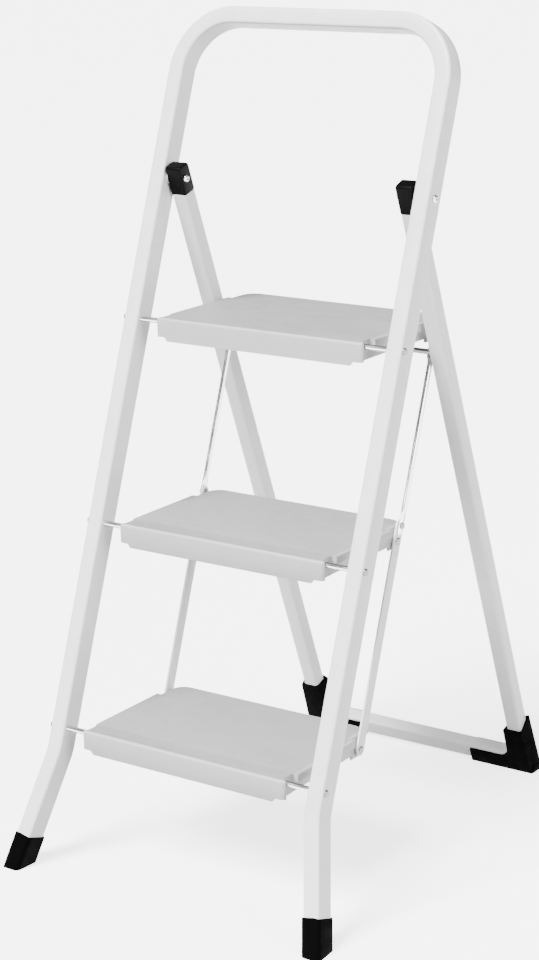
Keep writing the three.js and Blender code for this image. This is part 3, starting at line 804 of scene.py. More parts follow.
POWDER_COAT = Finish("white_powder_coat", (0.80, 0.80, 0.79), (0.34, 0.46), tone=0.015,
                     scuff=0.03, grain_scale=520, relief=0.28, coat=0.2)
# The tread tops carry painted shade through top.
TREAD_PLASTIC = Finish("grey_tread_plastic", (0.43, 0.43, 0.427), (0.42, 0.56), tone=0.02,
                       scuff=0.035, grain_scale=1900, relief=0.4, top=0.7)
BLACK_PLASTIC = Finish("black_plastic", (0.0022, 0.0022, 0.0023), (0.34, 0.5), tone=0.15,
                       scuff=0.2, grain_scale=2200, relief=0.3, specular=0.03)
BLACK_RUBBER = Finish("black_rubber", (0.0012, 0.0012, 0.0012), (0.6, 0.8), tone=0.2,
                      scuff=0.25, grain_scale=1500, relief=0.5, specular=0.01)
# The zinc carries painted reflection shade on turned-away faces through rim.
ZINC = Finish("zinc_plate", (0.78, 0.79, 0.80), (0.13, 0.24), tone=0.04, scuff=0.08,
              grain_scale=1600, relief=0.08, metallic=1.0, rim=0.1,
              stretch=(0.06, 1, 1))
ZINC_UPRIGHT = replace(ZINC, stretch=(1, 1, 0.06), suffix="_upright")
# A darker copy of the zinc, as painted shade: the rear rod lies in shadow, and the pin heads get it too.
ZINC_SHADED = replace(ZINC, color=(0.22, 0.22, 0.22), roughness=(0.3, 0.45), tone=0.08, scuff=0.15,
                    relief=0.12, rim=0.2, suffix="_shaded")
NYLON = Finish("natural_nylon", (0.72, 0.70, 0.64), (0.4, 0.55), grain_scale=1200)


def dress(piece: bpy.types.Object, finish: Finish, body: str, *nodes: str) -> None:
    """Gives a finished piece its material, its body and the CAD nodes it stands for.

    Args:
        piece: The finished mesh.
        finish: Its finish.
        body: The CAD body that it moves with.
        *nodes: The CAD nodes that it replaces.
    """
    piece.data.materials.clear()
    piece.data.materials.append(finish.material())
    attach(piece, body)
    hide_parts(*nodes)
    LOG.info("%s: %d faces on %s", piece.name, len(piece.data.polygons), body)


def shade_heads(piece: bpy.types.Object, start: float, end: float) -> None:
    """Gives a pin's heads the darker copy of the zinc finish, as painted shade.

    Args:
        piece: The dressed pin.
        start: The x under one head.
        end: The x under the other head.
    """
    # The heads' slot holds the darker zinc copy: painted shade.
    piece.data.materials.append(ZINC_SHADED.material())
    for face in piece.data.polygons:
        if not start - 0.1 * MM < face.center.x < end + 0.1 * MM:
            face.material_index = 1


# ---------------------------------------------------------------- front stand
@dataclass
class FrontStand:
    """The front frame with its bail, its boots, the tread rods and the pivot bolts."""

    tube: Section = Section(21 * MM, 30 * MM, 3.5 * MM)
    width: float = 399 * MM
    bail_radius: float = 71.5 * MM
    flare_angle: float = math.radians(11.8)
    flare_radius: float = 90 * MM
    flare_below_rod: float = 25.6 * MM
    flare_steps: int = 8
    bail_steps: int = 20
    boot_height: float = 46 * MM
    boot_wall: float = 2.1 * MM
    boot_bore: float = 30 * MM
    boot_edge: float = 0.7 * MM
    rod: HeadedPin = HeadedPin(6.5 * MM, 8.5 * MM, 2.6 * MM)
    bolt: HeadedPin = HeadedPin(6 * MM, 9.5 * MM, 2.8 * MM, socket=1.6 * MM)
    BODY = "front_stand"

    @property
    def leg_x(self) -> float:
        """The middle of a straight leg."""
        return (self.width - self.tube.width) / 2

    @property
    def flare_along(self) -> float:
        """How far up the frame the leg turns outwards."""
        return (LAYOUT.rod(Step.BOTTOM).z - self.flare_below_rod) / math.cos(LAYOUT.front_lean)

    @property
    def tangent(self) -> float:
        """How much of each straight run the flare's bend takes."""
        return self.flare_radius * math.tan(self.flare_angle / 2)

    def build(self) -> None:
        """Builds and dresses every piece."""
        self._frame()
        self._boots()
        for step in Step:
            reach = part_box(f"tread_rod_{step.value}")[1].x - self.rod.head_height
            made = self.rod.build(f"rod_{step.value}", -reach, reach, LAYOUT.rod(step))
            dress(made, ZINC, self.BODY, f"tread_rod_{step.value}")
            # The rod heads get painted shade from the darker zinc copy.
            shade_heads(made, -reach, reach)
        low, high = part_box("pivot_bolt_right")
        height = self.bolt.head_height
        bolt = self.bolt.build("bolt_right", low.x + height, high.x - height, LAYOUT.pivot)
        dress(copy_of(bolt, "bolt_left", MIRROR), ZINC, self.BODY, "pivot_bolt_left")
        dress(bolt, ZINC, self.BODY, "pivot_bolt_right")

    def _path(self, tube: BentTube, foot: float, leg: float) -> BentTube:
        """Runs a tube from the left foot over the bail to the right foot.

        Args:
            tube: The tube, at the left foot.
            foot: The length of a foot.
            leg: The length of a straight leg.

        Returns:
            The same tube.
        """
        bar = 2 * (self.leg_x - self.bail_radius)
        flare = (self.flare_angle, self.flare_radius, self.flare_steps)
        corner = (-QUARTER, self.bail_radius, self.bail_steps)
        tube.straight(foot).bend(*flare).straight(leg)
        tube.bend(*corner).straight(bar).bend(*corner)
        return tube.straight(leg).bend(*flare).straight(foot)

    def _frame(self) -> None:
        """Bends the front tube and cuts its feet off level above the floor."""
        low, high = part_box("front_frame")
        slope = math.cos(LAYOUT.front_lean)
        along = self.flare_along
        top = high.z / slope - self.tube.width / 2 + self._crown()
        foot = along / math.cos(self.flare_angle) - self.tangent
        leg = top - self.bail_radius - along - self.tangent
        start = Vector((-self.leg_x - along * math.tan(self.flare_angle), 0))
        tube = BentTube("frame_front", self.tube, start, QUARTER - self.flare_angle,
                        self.tube.depth / 2)
        made = self._path(tube, foot, leg).done(LAYOUT.front)
        level(made, low.z)
        smooth(made)
        dress(made, POWDER_COAT, self.BODY, "front_frame")

    def _crown(self) -> float:
        """How much the bail's rounded top corners lower its highest point, along the frame.

        Returns:
            The distance along the frame.
        """
        lean = LAYOUT.front_lean
        corner = self.tube.corner
        return corner * (1 / math.cos(lean) - 1) + corner * 0.5 * math.tan(lean) ** 2

    def _boots(self) -> None:
        """Moulds the right boot round the flared foot and mirrors it."""
        outside = self.tube.grown(self.boot_wall)
        along = self.flare_along
        start = Vector((self.leg_x + along * math.tan(self.flare_angle), 0))
        heading = QUARTER + self.flare_angle
        below = Vector((math.cos(heading), math.sin(heading))) * -self.boot_height
        tube = BentTube("boot_right", outside, start + below, heading, self.tube.depth / 2)
        made = tube.straight(self.boot_height * 2).done(LAYOUT.front)
        level(made, 0)
        normal = LAYOUT.front.to_3x3() @ Vector((0, 0, 1))
        place = LAYOUT.front @ Vector((0, 0, self.boot_height))
        cut(made, place, normal)
        pick(made, Part.FACE, lambda centre, turned: turned.dot(normal) > SQUARE_ON)
        bpy.ops.mesh.inset(thickness=self.boot_wall)
        inward = LAYOUT.front.to_3x3() @ Vector((-math.cos(heading), 0, -math.sin(heading)))
        push(tuple(inward * self.boot_bore))
        finish_edges(made, self.boot_edge)
        dress(copy_of(made, "boot_left", MIRROR), BLACK_RUBBER, self.BODY, "front_boot_left")
        dress(made, BLACK_RUBBER, self.BODY, "front_boot_right")


def cut(piece: bpy.types.Object, place: Vector, normal: Vector) -> None:
    """Cuts off what lies beyond a plane and closes the cut.

    Args:
        piece: The mesh to cut.
        place: A point on the plane.
        normal: Which way the removed side lies.
    """
    take(piece)
    bpy.ops.object.mode_set(mode="EDIT")
    bpy.ops.mesh.select_all(action="SELECT")
    bpy.ops.mesh.bisect(plane_co=place, plane_no=normal, use_fill=True, clear_outer=True)
    bpy.ops.object.mode_set(mode="OBJECT")


def level(piece: bpy.types.Object, height: float) -> None:
    """Cuts off what lies below a height and closes the cut."""
    cut(piece, Vector((0, 0, height)), Vector((0, 0, -1)))


# ---------------------------------------------------------------- rear stand
@dataclass
class RearStand:
    """The rear frame with its rod, its feet and the caps at its pivots."""

    tube: Section = Section(22 * MM, 20 * MM, 3.5 * MM)
    toe_in: float = 3 * MM
    bend_radius: float = 25 * MM
    bend_steps: int = 12
    bar_clearance: float = 3 * MM
    foot_wall: float = 2.9 * MM
    foot_height: float = 70 * MM
    foot_fin: float = 13 * MM
    foot_outer: float = 6.6 * MM
    arm_height: float = 20 * MM
    fillet: float = 16 * MM
    foot_edge: float = 0.6 * MM
    foot_gap: float = 0.3 * MM
    tail_height: float = 9 * MM
    tail_round: float = 5 * MM
    cap_below: float = 20 * MM
    cap_above: float = 17 * MM
    cap_round: float = 4.5 * MM
    cap_edge: float = 1.4 * MM
    rod_edge: float = 0.5 * MM
    BODY = "rear_stand"

    @property
    def top_x(self) -> float:
        """The middle of a leg at the pivot."""
        return box_centre("rear_cap_right").x

    @property
    def floor_x(self) -> float:
        """The middle of a leg at the floor."""
        return self.top_x - self.toe_in

    @property
    def pivot_along(self) -> float:
        """How far up the frame the pivot is."""
        return (LAYOUT.rear.inverted() @ LAYOUT.pivot).z

    @property
    def bar_along(self) -> float:
        """How far up the frame the crossbar's middle is."""
        return self.bar_clearance / math.cos(LAYOUT.rear_lean) + self.tube.width / 2

    def build(self) -> None:
        """Builds and dresses every piece."""
        dress(self._tube("frame_rear", self.tube), POWDER_COAT, self.BODY, "rear_frame")
        self._rod()
        self._caps()
        self._feet()

    def _tube(self, name: str, section: Section) -> bpy.types.Object:
        """Bends the rear tube, from one cap round the floor to the other.

        Args:
            name: The piece's name.
            section: The tube's outside.

        Returns:
            The placed mesh object.
        """
        top = self.pivot_along - self.cap_below
        rise = top - self.bar_along
        toe = math.atan2(self.toe_in, self.pivot_along - self.bar_along)
        turn = QUARTER - toe
        tangent = self.bend_radius * math.tan(turn / 2)
        leg = rise / math.cos(toe) - tangent
        start = Vector((-self.floor_x - math.tan(toe) * rise, top))
        tube = BentTube(name, section, start, -QUARTER + toe, self.tube.depth / 2)
        corner = (turn, self.bend_radius, self.bend_steps)
        tube.straight(leg).bend(*corner).straight(2 * (self.floor_x - tangent))
        return tube.bend(*corner).straight(leg).done(LAYOUT.rear)

    def _rod(self) -> None:
        """Turns the plain rod that the top tread drops over, with its ends broken."""
        low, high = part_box("rear_rod")
        made = round_bar("rod_rear", (low + high) / 2, (high.z - low.z) / 2, high.x - low.x)
        finish_edges(made, self.rod_edge)
        # The rear rod gets the darker zinc copy: painted shade.
        dress(made, ZINC_SHADED, self.BODY, "rear_rod")

    def _caps(self) -> None:
        """Moulds the right cap and mirrors it."""
        half, depth = self.tube.width / 2, self.tube.depth
        top = self.pivot_along + self.cap_above
        low = Vector((self.top_x - half, 0, self.pivot_along - self.cap_below))
        made = block("cap_right", low, Vector((self.top_x + half, depth, top)))
        round_edges(made, self.cap_round, 10,
                    lambda a, b: min(a.z, b.z) > top - MM and abs(a.x - b.x) > MM)
        settle(made, LAYOUT.rear)
        finish_edges(made, self.cap_edge, 4)
        dress(copy_of(made, "cap_left", MIRROR), BLACK_PLASTIC, self.BODY, "rear_cap_left")
        dress(made, BLACK_PLASTIC, self.BODY, "rear_cap_right")

    @property
    def foot_inner(self) -> float:
        """The x of the foot's inner face."""
        return self.floor_x - self.tube.width / 2 - self.foot_wall

    def _feet(self) -> None:
        """Moulds the right foot round the tube's corner and mirrors it."""
        low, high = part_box("rear_foot_right")
        made = self._arm(low.x)
        settle(made, LAYOUT.rear)
        level(made, 0)
        combine(made, self._tail(high), "UNION")
        combine(made, self._tube("bore", self.tube.grown(self.foot_gap)), "DIFFERENCE")
        finish_edges(made, self.foot_edge)
        dress(copy_of(made, "foot_left", MIRROR), BLACK_RUBBER, self.BODY, "rear_foot_left")
        dress(made, BLACK_RUBBER, self.BODY, "rear_foot_right")

    def _arm(self, tip: float) -> bpy.types.Object:
        """Returns the foot's arm joined to its upright, with a fillet between them.

        Args:
            tip: The x where the arm ends.

        Returns:
            The new mesh object, in the rear frame's own frame.
        """
        inner, wall = self.foot_inner, self.foot_wall
        top = self.arm_height / math.cos(LAYOUT.rear_lean)
        low = Vector((tip, -wall, -self.tube.depth))
        made = block("foot_right", low, Vector((inner, self.tube.depth + wall, top)))
        combine(made, self._upright(), "UNION")
        round_edges(made, self.fillet, 8, lambda a, b: abs(a.x - b.x) < MM
                    and abs(a.z - top) < MM and abs(b.z - top) < MM
                    and abs(a.x - inner) < 2 * MM)
        return made

    def _upright(self) -> bpy.types.Object:
        """Returns the part that wraps the leg, wider at the floor and with its fin raised.

        Returns:
            The new mesh object, in the rear frame's own frame.
        """
        inner, wall, below = self.foot_inner, self.foot_wall, -self.tube.depth
        outer = self.floor_x + self.tube.width / 2 + wall
        back = self.tube.depth + wall
        made = block("upright", Vector((inner - MM, -wall, below)),
                     Vector((outer, back, self.foot_height)))
        pick(made, Part.FACE, lambda centre, normal: normal.z < -FACING)
        spread = (self.foot_outer - wall) / 2
        bpy.ops.transform.resize(value=((outer - inner + 2 * spread) / (outer - inner), 1, 1),
                                 center_override=(inner, 0, below))
        bpy.ops.object.mode_set(mode="OBJECT")
        pick(made, Part.POINT, lambda at, normal: at.z > self.foot_height - MM
             and at.y > back - MM and at.x > outer - MM)
        bpy.ops.transform.translate(value=(0, 0, self.foot_fin))
        bpy.ops.object.mode_set(mode="OBJECT")
        return made

    def _tail(self, high: Vector) -> bpy.types.Object:
        """Returns the flat sole behind the leg.

        Args:
            high: The highest corner of the foot's box.

        Returns:
            The new mesh object.
        """
        made = block("tail", Vector((self.foot_inner, box_centre("rear_foot_right").y, 0)),
                     Vector((high.x, high.y, self.tail_height)))
        round_edges(made, self.tail_round, 5,
                    lambda a, b: min(a.y, b.y) > high.y - MM and abs(a.x - b.x) < MM)
        return made


# ---------------------------------------------------------------- treads
@dataclass
class Treads:
    """The three moulded treads: ribbed shells with scooped front corners and notched rear sides."""

    wall: float = 2.5 * MM
    deck: float = 2.2 * MM
    recess_depth: float = 6.5 * MM
    recess_length: float = 40 * MM
    front_corner: float = 6 * MM
    rear_corner: float = 20 * MM
    top_round: float = 4 * MM
    end_raise: float = 4.8 * MM
    end_length: float = 18 * MM
    pocket_depth: float = 6 * MM
    pocket_length: float = 24 * MM
    pocket_front: float = 4.5 * MM
    pocket_corner: float = 4.5 * MM
    rib: float = 2 * MM
    rib_height: float = 19 * MM
    rib_pitch: float = 48 * MM
    ribs_across: int = 3
    channel_drop: float = 10.5 * MM
    rod_bore: float = 3.55 * MM
    pin_bore: float = 2.8 * MM
    pin_bore_depth: float = 4 * MM
    catch_inset: float = 37 * MM
    catch_width: float = 14 * MM
    catch_length: float = 26 * MM
    catch_hook: float = 5 * MM
    catch_gap: float = 0.3 * MM
    catch_back: float = 4 * MM
    edge: float = 0.45 * MM

    @property
    def size(self) -> Vector:
        """A tread's size across, front to back and in height."""
        low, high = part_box("tread_bottom")
        return high - low

    def build(self) -> None:
        """Builds one tread, copies it to each step and dresses the copies."""
        pattern = self._shell()
        for step in Step:
            low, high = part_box(f"tread_{step.value}")
            place = Matrix.Translation((0, low.y, high.z))
            made = copy_of(pattern, f"step_{step.value}", place)
            if step is Step.TOP:
                self._catches(made, low.y, high.z)
            self._bores(made, step)
            finish_edges(made, self.edge)
            dress(made, TREAD_PLASTIC, f"{step.value}_step", f"tread_{step.value}")
        bpy.data.objects.remove(pattern)

    def _shell(self) -> bpy.types.Object:
        """Returns a tread with its front edge at y = 0 and its deck at z = 0.

        Returns:
            The new mesh object.
        """
        half, depth, height = self.size.x / 2, self.size.y, self.size.z
        narrow = half - self.recess_depth
        notch = depth - self.recess_length
        made = block("tread_pattern", Vector((-narrow, 0, -height)), Vector((narrow, depth, 0)))
        take(made)
        bpy.ops.object.mode_set(mode="EDIT")
        bpy.ops.mesh.select_all(action="SELECT")
        bpy.ops.mesh.bisect(plane_co=(0, notch, 0), plane_no=(0, 1, 0))
        for side in Side:
            pick(made, Part.FACE, lambda centre, normal, s=side.value:
                 normal.x * s > FACING and centre.y < notch)
            push((side.value * self.recess_depth, 0, 0))
        bpy.ops.mesh.select_all(action="SELECT")
        bpy.ops.mesh.dissolve_limited(angle_limit=math.radians(1))
        upright = self._upright
        round_edges(made, self.rear_corner, 12, lambda a, b: upright(a, b) and a.y > depth - MM)
        round_edges(made, self.front_corner, 8, lambda a, b: upright(a, b) and a.y < MM)
        round_edges(made, self.top_round, 6, lambda a, b: min(a.z, b.z) > -NEAR)
        for side in Side:
            combine(made, self._pocket(side), "DIFFERENCE")
            combine(made, self._channel(side, notch), "DIFFERENCE")
        combine(made, self._room(narrow, notch), "DIFFERENCE")
        for side in Side:
            combine(made, self._end_cut(side, notch), "DIFFERENCE")
        return made

    def _channel(self, side: Side, notch: float) -> bpy.types.Object:
        """Returns the block that steps the side in under the deck, for the folded links.

        Args:
            side: Which end of the tread.
            notch: The y where the link recess starts.

        Returns:
            The new mesh object.
        """
        inner, outer = self.size.x / 2 - self.recess_depth, self.size.x / 2 + MM
        xs = sorted((side.value * inner, side.value * outer))
        front = self.pocket_front + self.pocket_length - self.pocket_corner
        low = Vector((xs[0], front, -self.size.z - MM))
        return block("channel", low, Vector((xs[1], notch + MM, -self.channel_drop)))

    def _room(self, narrow: float, notch: float) -> bpy.types.Object:
        """Returns the hollow under the deck, with its rear corners round and slots for the ribs.

        Args:
            narrow: Half the width at the link recesses.
            notch: The y where the link recess starts.

        Returns:
            The new mesh object.
        """
        reach, back = narrow - self.wall, self.size.y - self.wall
        under = -self.size.z - MM
        made = block("room", Vector((-reach, self.wall, under)), Vector((reach, back, -self.deck)))
        round_edges(made, self.rear_corner - self.wall, 12,
                    lambda a, b: self._upright(a, b) and a.y > back - MM)
        slot_low, slot_high = -self.rib_height, -self.deck + MM
        count = int(reach / self.rib_pitch)
        for i in range(-count, count + 1):
            x = i * self.rib_pitch
            low = Vector((x - self.rib / 2, 0, slot_low))
            high = Vector((x + self.rib / 2, self.size.y, slot_high))
            combine(made, block("slot", low, high), "DIFFERENCE")
        for i in range(1, self.ribs_across + 1):
            y = notch * i / (self.ribs_across + 1)
            low = Vector((-narrow, y, slot_low))
            high = Vector((narrow, y + self.rib, slot_high))
            combine(made, block("slot", low, high), "DIFFERENCE")
        return made

    @staticmethod
    def _upright(a: Vector, b: Vector) -> bool:
        """Whether an edge stands upright."""
        return abs(a.x - b.x) < NEAR and abs(a.y - b.y) < NEAR

    def _pocket(self, side: Side) -> bpy.types.Object:
        """Returns the block that scoops out a front corner, where the rod comes out.

        Args:
            side: Which end of the tread.

        Returns:
            The new mesh object.
        """
        outer, inner = self.size.x / 2 + 5 * MM, self.size.x / 2 - self.pocket_depth
        xs = sorted((side.value * outer, side.value * inner))
        low = Vector((xs[0], self.pocket_front, -self.size.z - MM))
        high = Vector((xs[1], self.pocket_front + self.pocket_length, MM))
        made = block("pocket", low, high)
        round_edges(made, self.pocket_corner, 8, lambda a, b: self._upright(a, b)
                    and abs(abs(a.x) - inner) < MM)
        return made

    def _bores(self, made: bpy.types.Object, step: Step) -> None:
        """Bores a tread for its rod and, through its sides only, for its link pins.

        Args:
            made: The tread, in its place.
            step: Which tread it is.
        """
        half = self.size.x / 2
        combine(made, self._drill(LAYOUT.rod(step), self.rod_bore, -half, half), "DIFFERENCE")
        rise = LAYOUT.rod(Step.MIDDLE) - LAYOUT.rod(Step.BOTTOM)
        steps_up = list(Step).index(step)
        pin = box_centre("link_rivet_bottom_right") + rise * steps_up
        radius = self.rod_bore if step is Step.TOP else self.pin_bore
        for side in Side:
            inner = half - self.recess_depth - self.pin_bore_depth
            xs = sorted((side.value * inner, side.value * half))
            combine(made, self._drill(pin, radius, *xs), "DIFFERENCE")

    @staticmethod
    def _drill(axis: Vector, radius: float, start: float, end: float) -> bpy.types.Object:
        """Returns a round bar along X, a little longer than the cut that it makes.

        Args:
            axis: Any point on its axis.
            radius: Its radius.
            start: The x where the cut starts.
            end: The x where the cut ends.

        Returns:
            The new mesh object.
        """
        middle = Vector(((start + end) / 2, axis.y, axis.z))
        return round_bar("drill", middle, radius, end - start + 2 * MM)

    def _end_cut(self, side: Side, notch: float) -> bpy.types.Object:
        """Returns the block that makes the skirt shallower at an end, with a sloped step.

        Args:
            side: Which end of the tread.
            notch: The y where the link recess starts.

        Returns:
            The new mesh object.
        """
        inner, outer = self.size.x / 2 - self.end_length, self.size.x / 2 + MM
        raised = -self.size.z + self.end_raise
        xs = sorted((side.value * inner, side.value * outer))
        low = Vector((xs[0], -MM, -self.size.z - MM))
        made = block("end_cut", low, Vector((xs[1], notch + MM, raised)))
        pick(made, Part.EDGE, lambda a, b: min(a.z, b.z) > raised - 0.1 * MM
             and abs(abs(a.x) - inner) < 0.1 * MM and abs(abs(b.x) - inner) < 0.1 * MM)
        bpy.ops.transform.translate(value=(side.value * self.end_raise, 0, 0))
        bpy.ops.object.mode_set(mode="OBJECT")
        return made

    def _catches(self, made: bpy.types.Object, front: float, deck: float) -> None:
        """Joins on the two saddles that drop over the rear rod and hook behind it.

        Args:
            made: The top tread, in its place.
            front: The y of its front edge; not used.
            deck: The z of its deck.
        """
        rod = box_centre("rear_rod")
        low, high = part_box("rear_rod")
        seat = (high.z - low.z) / 2 + self.catch_gap
        middle = self.size.x / 2 - self.recess_depth - self.catch_inset
        half, start = self.catch_width / 2, rod.y - self.catch_length / 2
        lug = block("lug", Vector((middle - half, start, rod.z - self.catch_hook)),
                    Vector((middle + half, rod.y + seat + self.catch_back, deck - self.deck / 2)))
        wide = half + MM
        way = block("way", Vector((middle - wide, start - MM, rod.z - 2 * self.catch_hook)),
                    Vector((middle + wide, rod.y + seat, rod.z)))
        combine(lug, way, "DIFFERENCE")
        lead = block("lead", Vector((middle - wide, start - MM, rod.z - MM)),
                     Vector((middle + wide, rod.y, rod.z + seat)))
        combine(lug, lead, "DIFFERENCE")
        combine(lug, round_bar("saddle", Vector((middle, rod.y, rod.z)), seat, 2 * wide), "DIFFERENCE")
        combine(made, copy_of(lug, "lug_left", MIRROR), "UNION")
        combine(made, lug, "UNION")


# ---------------------------------------------------------------- links
@dataclass
class Links:
    """The side links: a flat bar below, a round rod above, their rivets and washers."""

    bar_width: float = 16 * MM
    rod_radius: float = 3.25 * MM
    rod_bend: float = 6 * MM
    bar_edge: float = 0.5 * MM
    nearly_round: float = 0.995
    paddle_width: float = 12 * MM
    paddle_thickness: float = 2.5 * MM
    paddle_length: float = 22 * MM
    taper: float = 9 * MM
    tip_share: float = 0.2
    tip_narrowing: float = 0.6
    rivet: HeadedPin = HeadedPin(5 * MM, 9 * MM, 2 * MM)
    splice: HeadedPin = HeadedPin(5 * MM, 8 * MM, 1 * MM)

    def build(self) -> None:
        """Builds the right link, mirrors it and dresses both."""
        for maker, finish, node in ((self._bar, POWDER_COAT, "link_bar"),
                                    (self._rod, ZINC_UPRIGHT, "link_rod")):
            right = maker()
            left = copy_of(right, right.name.replace("right", "left"), MIRROR)
            dress(left, finish, "left_link", f"{node}_left")
            dress(right, finish, "right_link", f"{node}_right")
        for side in Side:
            self._rivet(self.splice, f"link_splice_rivet_{side.label}", f"{side.label}_link")
            for step in (Step.BOTTOM, Step.MIDDLE):
                node = f"link_rivet_{step.value}_{side.label}"
                self._rivet(self.rivet, node, f"{step.value}_step")
        for node, piece in frame["nodes"].items():
            if "washer" in node:
                piece.material_slots[0].material = NYLON.material()
                LOG.info("%s: keeps its shape", node)

    def _bar(self) -> bpy.types.Object:
        """Returns the right flat bar, with round ends and broken edges.

        Returns:
            The new mesh object.
        """
        low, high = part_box("link_bar_right")
        half = self.bar_width / 2
        to_front = LAYOUT.front.inverted()
        pin = to_front @ Vector((0, *self._pin(Step.MIDDLE).yz))
        bottom = to_front @ Vector((0, *self._pin(Step.BOTTOM).yz))
        above = self._above_pin(high.z)
        made = block("bar_right", Vector((low.x, pin.y - half, bottom.z - half)),
                     Vector((high.x, pin.y + half, pin.z + above)))
        round_edges(made, half * self.nearly_round, 12, lambda a, b: abs(a.x - b.x) > MM)
        settle(made, LAYOUT.front)
        finish_edges(made, self.bar_edge)
        return made

    def _above_pin(self, top: float) -> float:
        """How far the bar reaches over its middle pin, from the height of its top.

        Args:
            top: The z of the bar's highest point.

        Returns:
            The distance along the bar.
        """
        half, lean = self.bar_width / 2, LAYOUT.front_lean
        centre = (top - half - self._pin(Step.MIDDLE).z) / math.cos(lean)
        return centre + half

    @staticmethod
    def _pin(step: Step) -> Vector:
        """Returns the middle of the right link's rivet in a tread."""
        return box_centre(f"link_rivet_{step.value}_right")

    def _rod(self) -> bpy.types.Object:
        """Returns the right rod: flattened below, bent inwards into the top tread above.

        Returns:
            The new mesh object.
        """
        low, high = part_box("link_rod_right")
        x = high.x - self.rod_radius
        splice = LAYOUT.front.inverted() @ Vector((0, *box_centre("link_splice_rivet_right").yz))
        top_pin = Vector((0, *(self._pin(Step.MIDDLE) + self._rise()).yz))
        top = (LAYOUT.front.inverted() @ top_pin).z
        section = Section(2 * self.rod_radius, 2 * self.rod_radius, 0.999 * self.rod_radius)
        start = Vector((x, splice.z + self.paddle_length / 2 + self.taper))
        tube = BentTube("link_rod_piece_right", section, start, QUARTER, splice.y)
        tube.straight(top - start.y - self.rod_bend)
        tube.bend(QUARTER, self.rod_bend, 10).straight(x - low.x - self.rod_bend)
        bpy.ops.object.mode_set(mode="OBJECT")
        self._flatten(tube.piece, x, splice)
        settle(tube.piece, LAYOUT.front)
        face_outwards(tube.piece)
        smooth(tube.piece, 40)
        return tube.piece

    @staticmethod
    def _rise() -> Vector:
        """Returns the step from one tread to the next."""
        return LAYOUT.rod(Step.TOP) - LAYOUT.rod(Step.MIDDLE)

    def _flatten(self, made: bpy.types.Object, x: float, splice: Vector) -> None:
        """Draws the rod's lower end out into a flat paddle round the splice rivet.

        Args:
            made: The rod's mesh, in the front frame's own frame.
            x: The x of the rod's axis.
            splice: The middle of the splice rivet.
        """
        narrow = self.paddle_thickness / (2 * self.rod_radius)
        broad = self.paddle_width / (2 * self.rod_radius)
        low = splice.z + self.paddle_length / 2
        pick(made, Part.FACE, lambda centre, normal: normal.z < -FACING)
        push((0, 0, -self.taper))
        bpy.ops.transform.resize(value=(narrow, broad, 1), center_override=(x, splice.y, low))
        push((0, 0, -self.paddle_length * (1 - self.tip_share)))
        push((0, 0, -self.paddle_length * self.tip_share))
        bottom = low - self.paddle_length
        bpy.ops.transform.resize(value=(1, self.tip_narrowing, 1), center_override=(x, splice.y, bottom))
        bpy.ops.object.mode_set(mode="OBJECT")

    @staticmethod
    def _rivet(pattern: HeadedPin, node: str, body: str) -> None:
        """Builds and dresses one rivet in its node's place.

        Args:
            pattern: The kind of rivet.
            node: The CAD node it stands for.
            body: The CAD body that it moves with.
        """
        low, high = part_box(node)
        height = pattern.head_height
        name = node.replace("link_", "")
        made = pattern.build(name, low.x + height, high.x - height, box_centre(node))
        dress(made, ZINC, body, node)
        # The rivet heads get painted shade from the darker zinc copy.
        shade_heads(made, low.x + height, high.x - height)


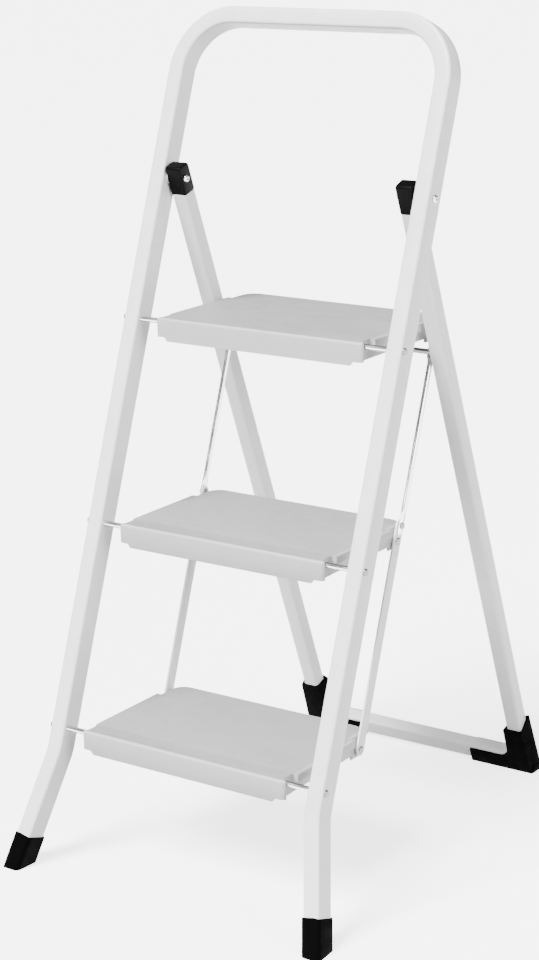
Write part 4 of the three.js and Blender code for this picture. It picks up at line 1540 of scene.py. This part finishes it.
# ---------------------------------------------------------------- studio
@dataclass(frozen=True)
class Studio:
    """A pale floor, soft light and the camera."""

    camera_place: Vector = Vector((1.5309, -2.26705, 1.2152))
    yaw: float = 0.6066
    pitch: float = -0.2715
    roll: float = -0.0173
    lens: float = 86.233
    floor_size: float = 240.0
    floor_color: tuple[float, float, float] = (0.9, 0.9, 0.9)
    floor_glow: float = 3.0
    floor_gap: float = 0.2 * MM
    sky: float = 0.3
    key_strength: float = 13.0
    key_spread: float = math.radians(25)
    key_height: float = math.radians(50)
    key_turn: float = math.radians(-14)
    side_place: Vector = Vector((3.4, -0.8, 1.6))
    side_size: float = 1.8
    side_power: float = 150

    def build(self) -> None:
        """Makes the floor, the lights and the camera."""
        self._camera()
        self._floor()
        self._key()
        self._light("side", self.side_place, self.side_size, self.side_power)
        world = bpy.data.worlds.new("studio")
        bpy.context.scene.world = world
        world.use_nodes = True
        world.node_tree.nodes["Background"].inputs["Strength"].default_value = self.sky
        world.node_tree.nodes["Background"].inputs["Color"].default_value = (1, 1, 1, 1)

    def _camera(self) -> None:
        """Points the camera along its yaw and pitch, then rolls it."""
        ahead = Vector((-math.sin(self.yaw) * math.cos(self.pitch),
                        math.cos(self.yaw) * math.cos(self.pitch), math.sin(self.pitch)))
        right = ahead.cross(Vector((0, 0, 1))).normalized()
        up = right.cross(ahead)
        turned_right = right * math.cos(self.roll) + up * math.sin(self.roll)
        turned_up = up * math.cos(self.roll) - right * math.sin(self.roll)
        data = bpy.data.cameras.new("camera")
        data.lens = self.lens
        made = bpy.data.objects.new("camera", data)
        bpy.context.scene.collection.objects.link(made)
        turn = Matrix((turned_right, turned_up, -ahead)).transposed().to_4x4()
        made.matrix_world = Matrix.Translation(self.camera_place) @ turn
        bpy.context.scene.camera = made

    def _floor(self) -> None:
        """Lays the floor just under the feet."""
        deselect()
        bpy.ops.mesh.primitive_plane_add(size=self.floor_size, location=(0, 0, -self.floor_gap))
        made = settle(bpy.context.object)
        made.name = "floor"
        material = bpy.data.materials.new("floor")
        material.use_nodes = True
        shader = material.node_tree.nodes["Principled BSDF"]
        shader.inputs["Base Color"].default_value = (*self.floor_color, 1)
        shader.inputs["Roughness"].default_value = 0.9
        shader.inputs["Emission Color"].default_value = (1, 1, 1, 1)
        shader.inputs["Emission Strength"].default_value = self.floor_glow
        made.data.materials.append(material)
        made.visible_diffuse = False

    def _key(self) -> None:
        """Shines the broad key light from high in front, evenly over the whole floor."""
        data = bpy.data.lights.new("key", "SUN")
        data.energy = self.key_strength
        data.angle = self.key_spread
        made = bpy.data.objects.new("key", data)
        bpy.context.scene.collection.objects.link(made)
        made.rotation_euler = (QUARTER - self.key_height, 0, self.key_turn)

    @staticmethod
    def _light(name: str, place: Vector, size: float, power: float) -> None:
        """Hangs a square soft light that faces the middle of the stool.

        Args:
            name: The light's name.
            place: Where it hangs.
            size: Its side.
            power: Its power in watts.
        """
        data = bpy.data.lights.new(name, "AREA")
        data.size = size
        data.energy = power
        made = bpy.data.objects.new(name, data)
        bpy.context.scene.collection.objects.link(made)
        made.location = place
        aim = Vector((0, 0, 0.5)) - place
        made.rotation_euler = aim.to_track_quat("-Z", "Y").to_euler()


def main() -> None:
    """Builds the studio and every sub-assembly in order."""
    logging.basicConfig(level=logging.INFO, format="%(name)s %(message)s")
    for assembly in (Studio(), FrontStand(), RearStand(), Treads(), Links()):
        assembly.build()
        LOG.info("built %s", type(assembly).__name__)
    deselect()


if __name__ == "__main__":
    main()
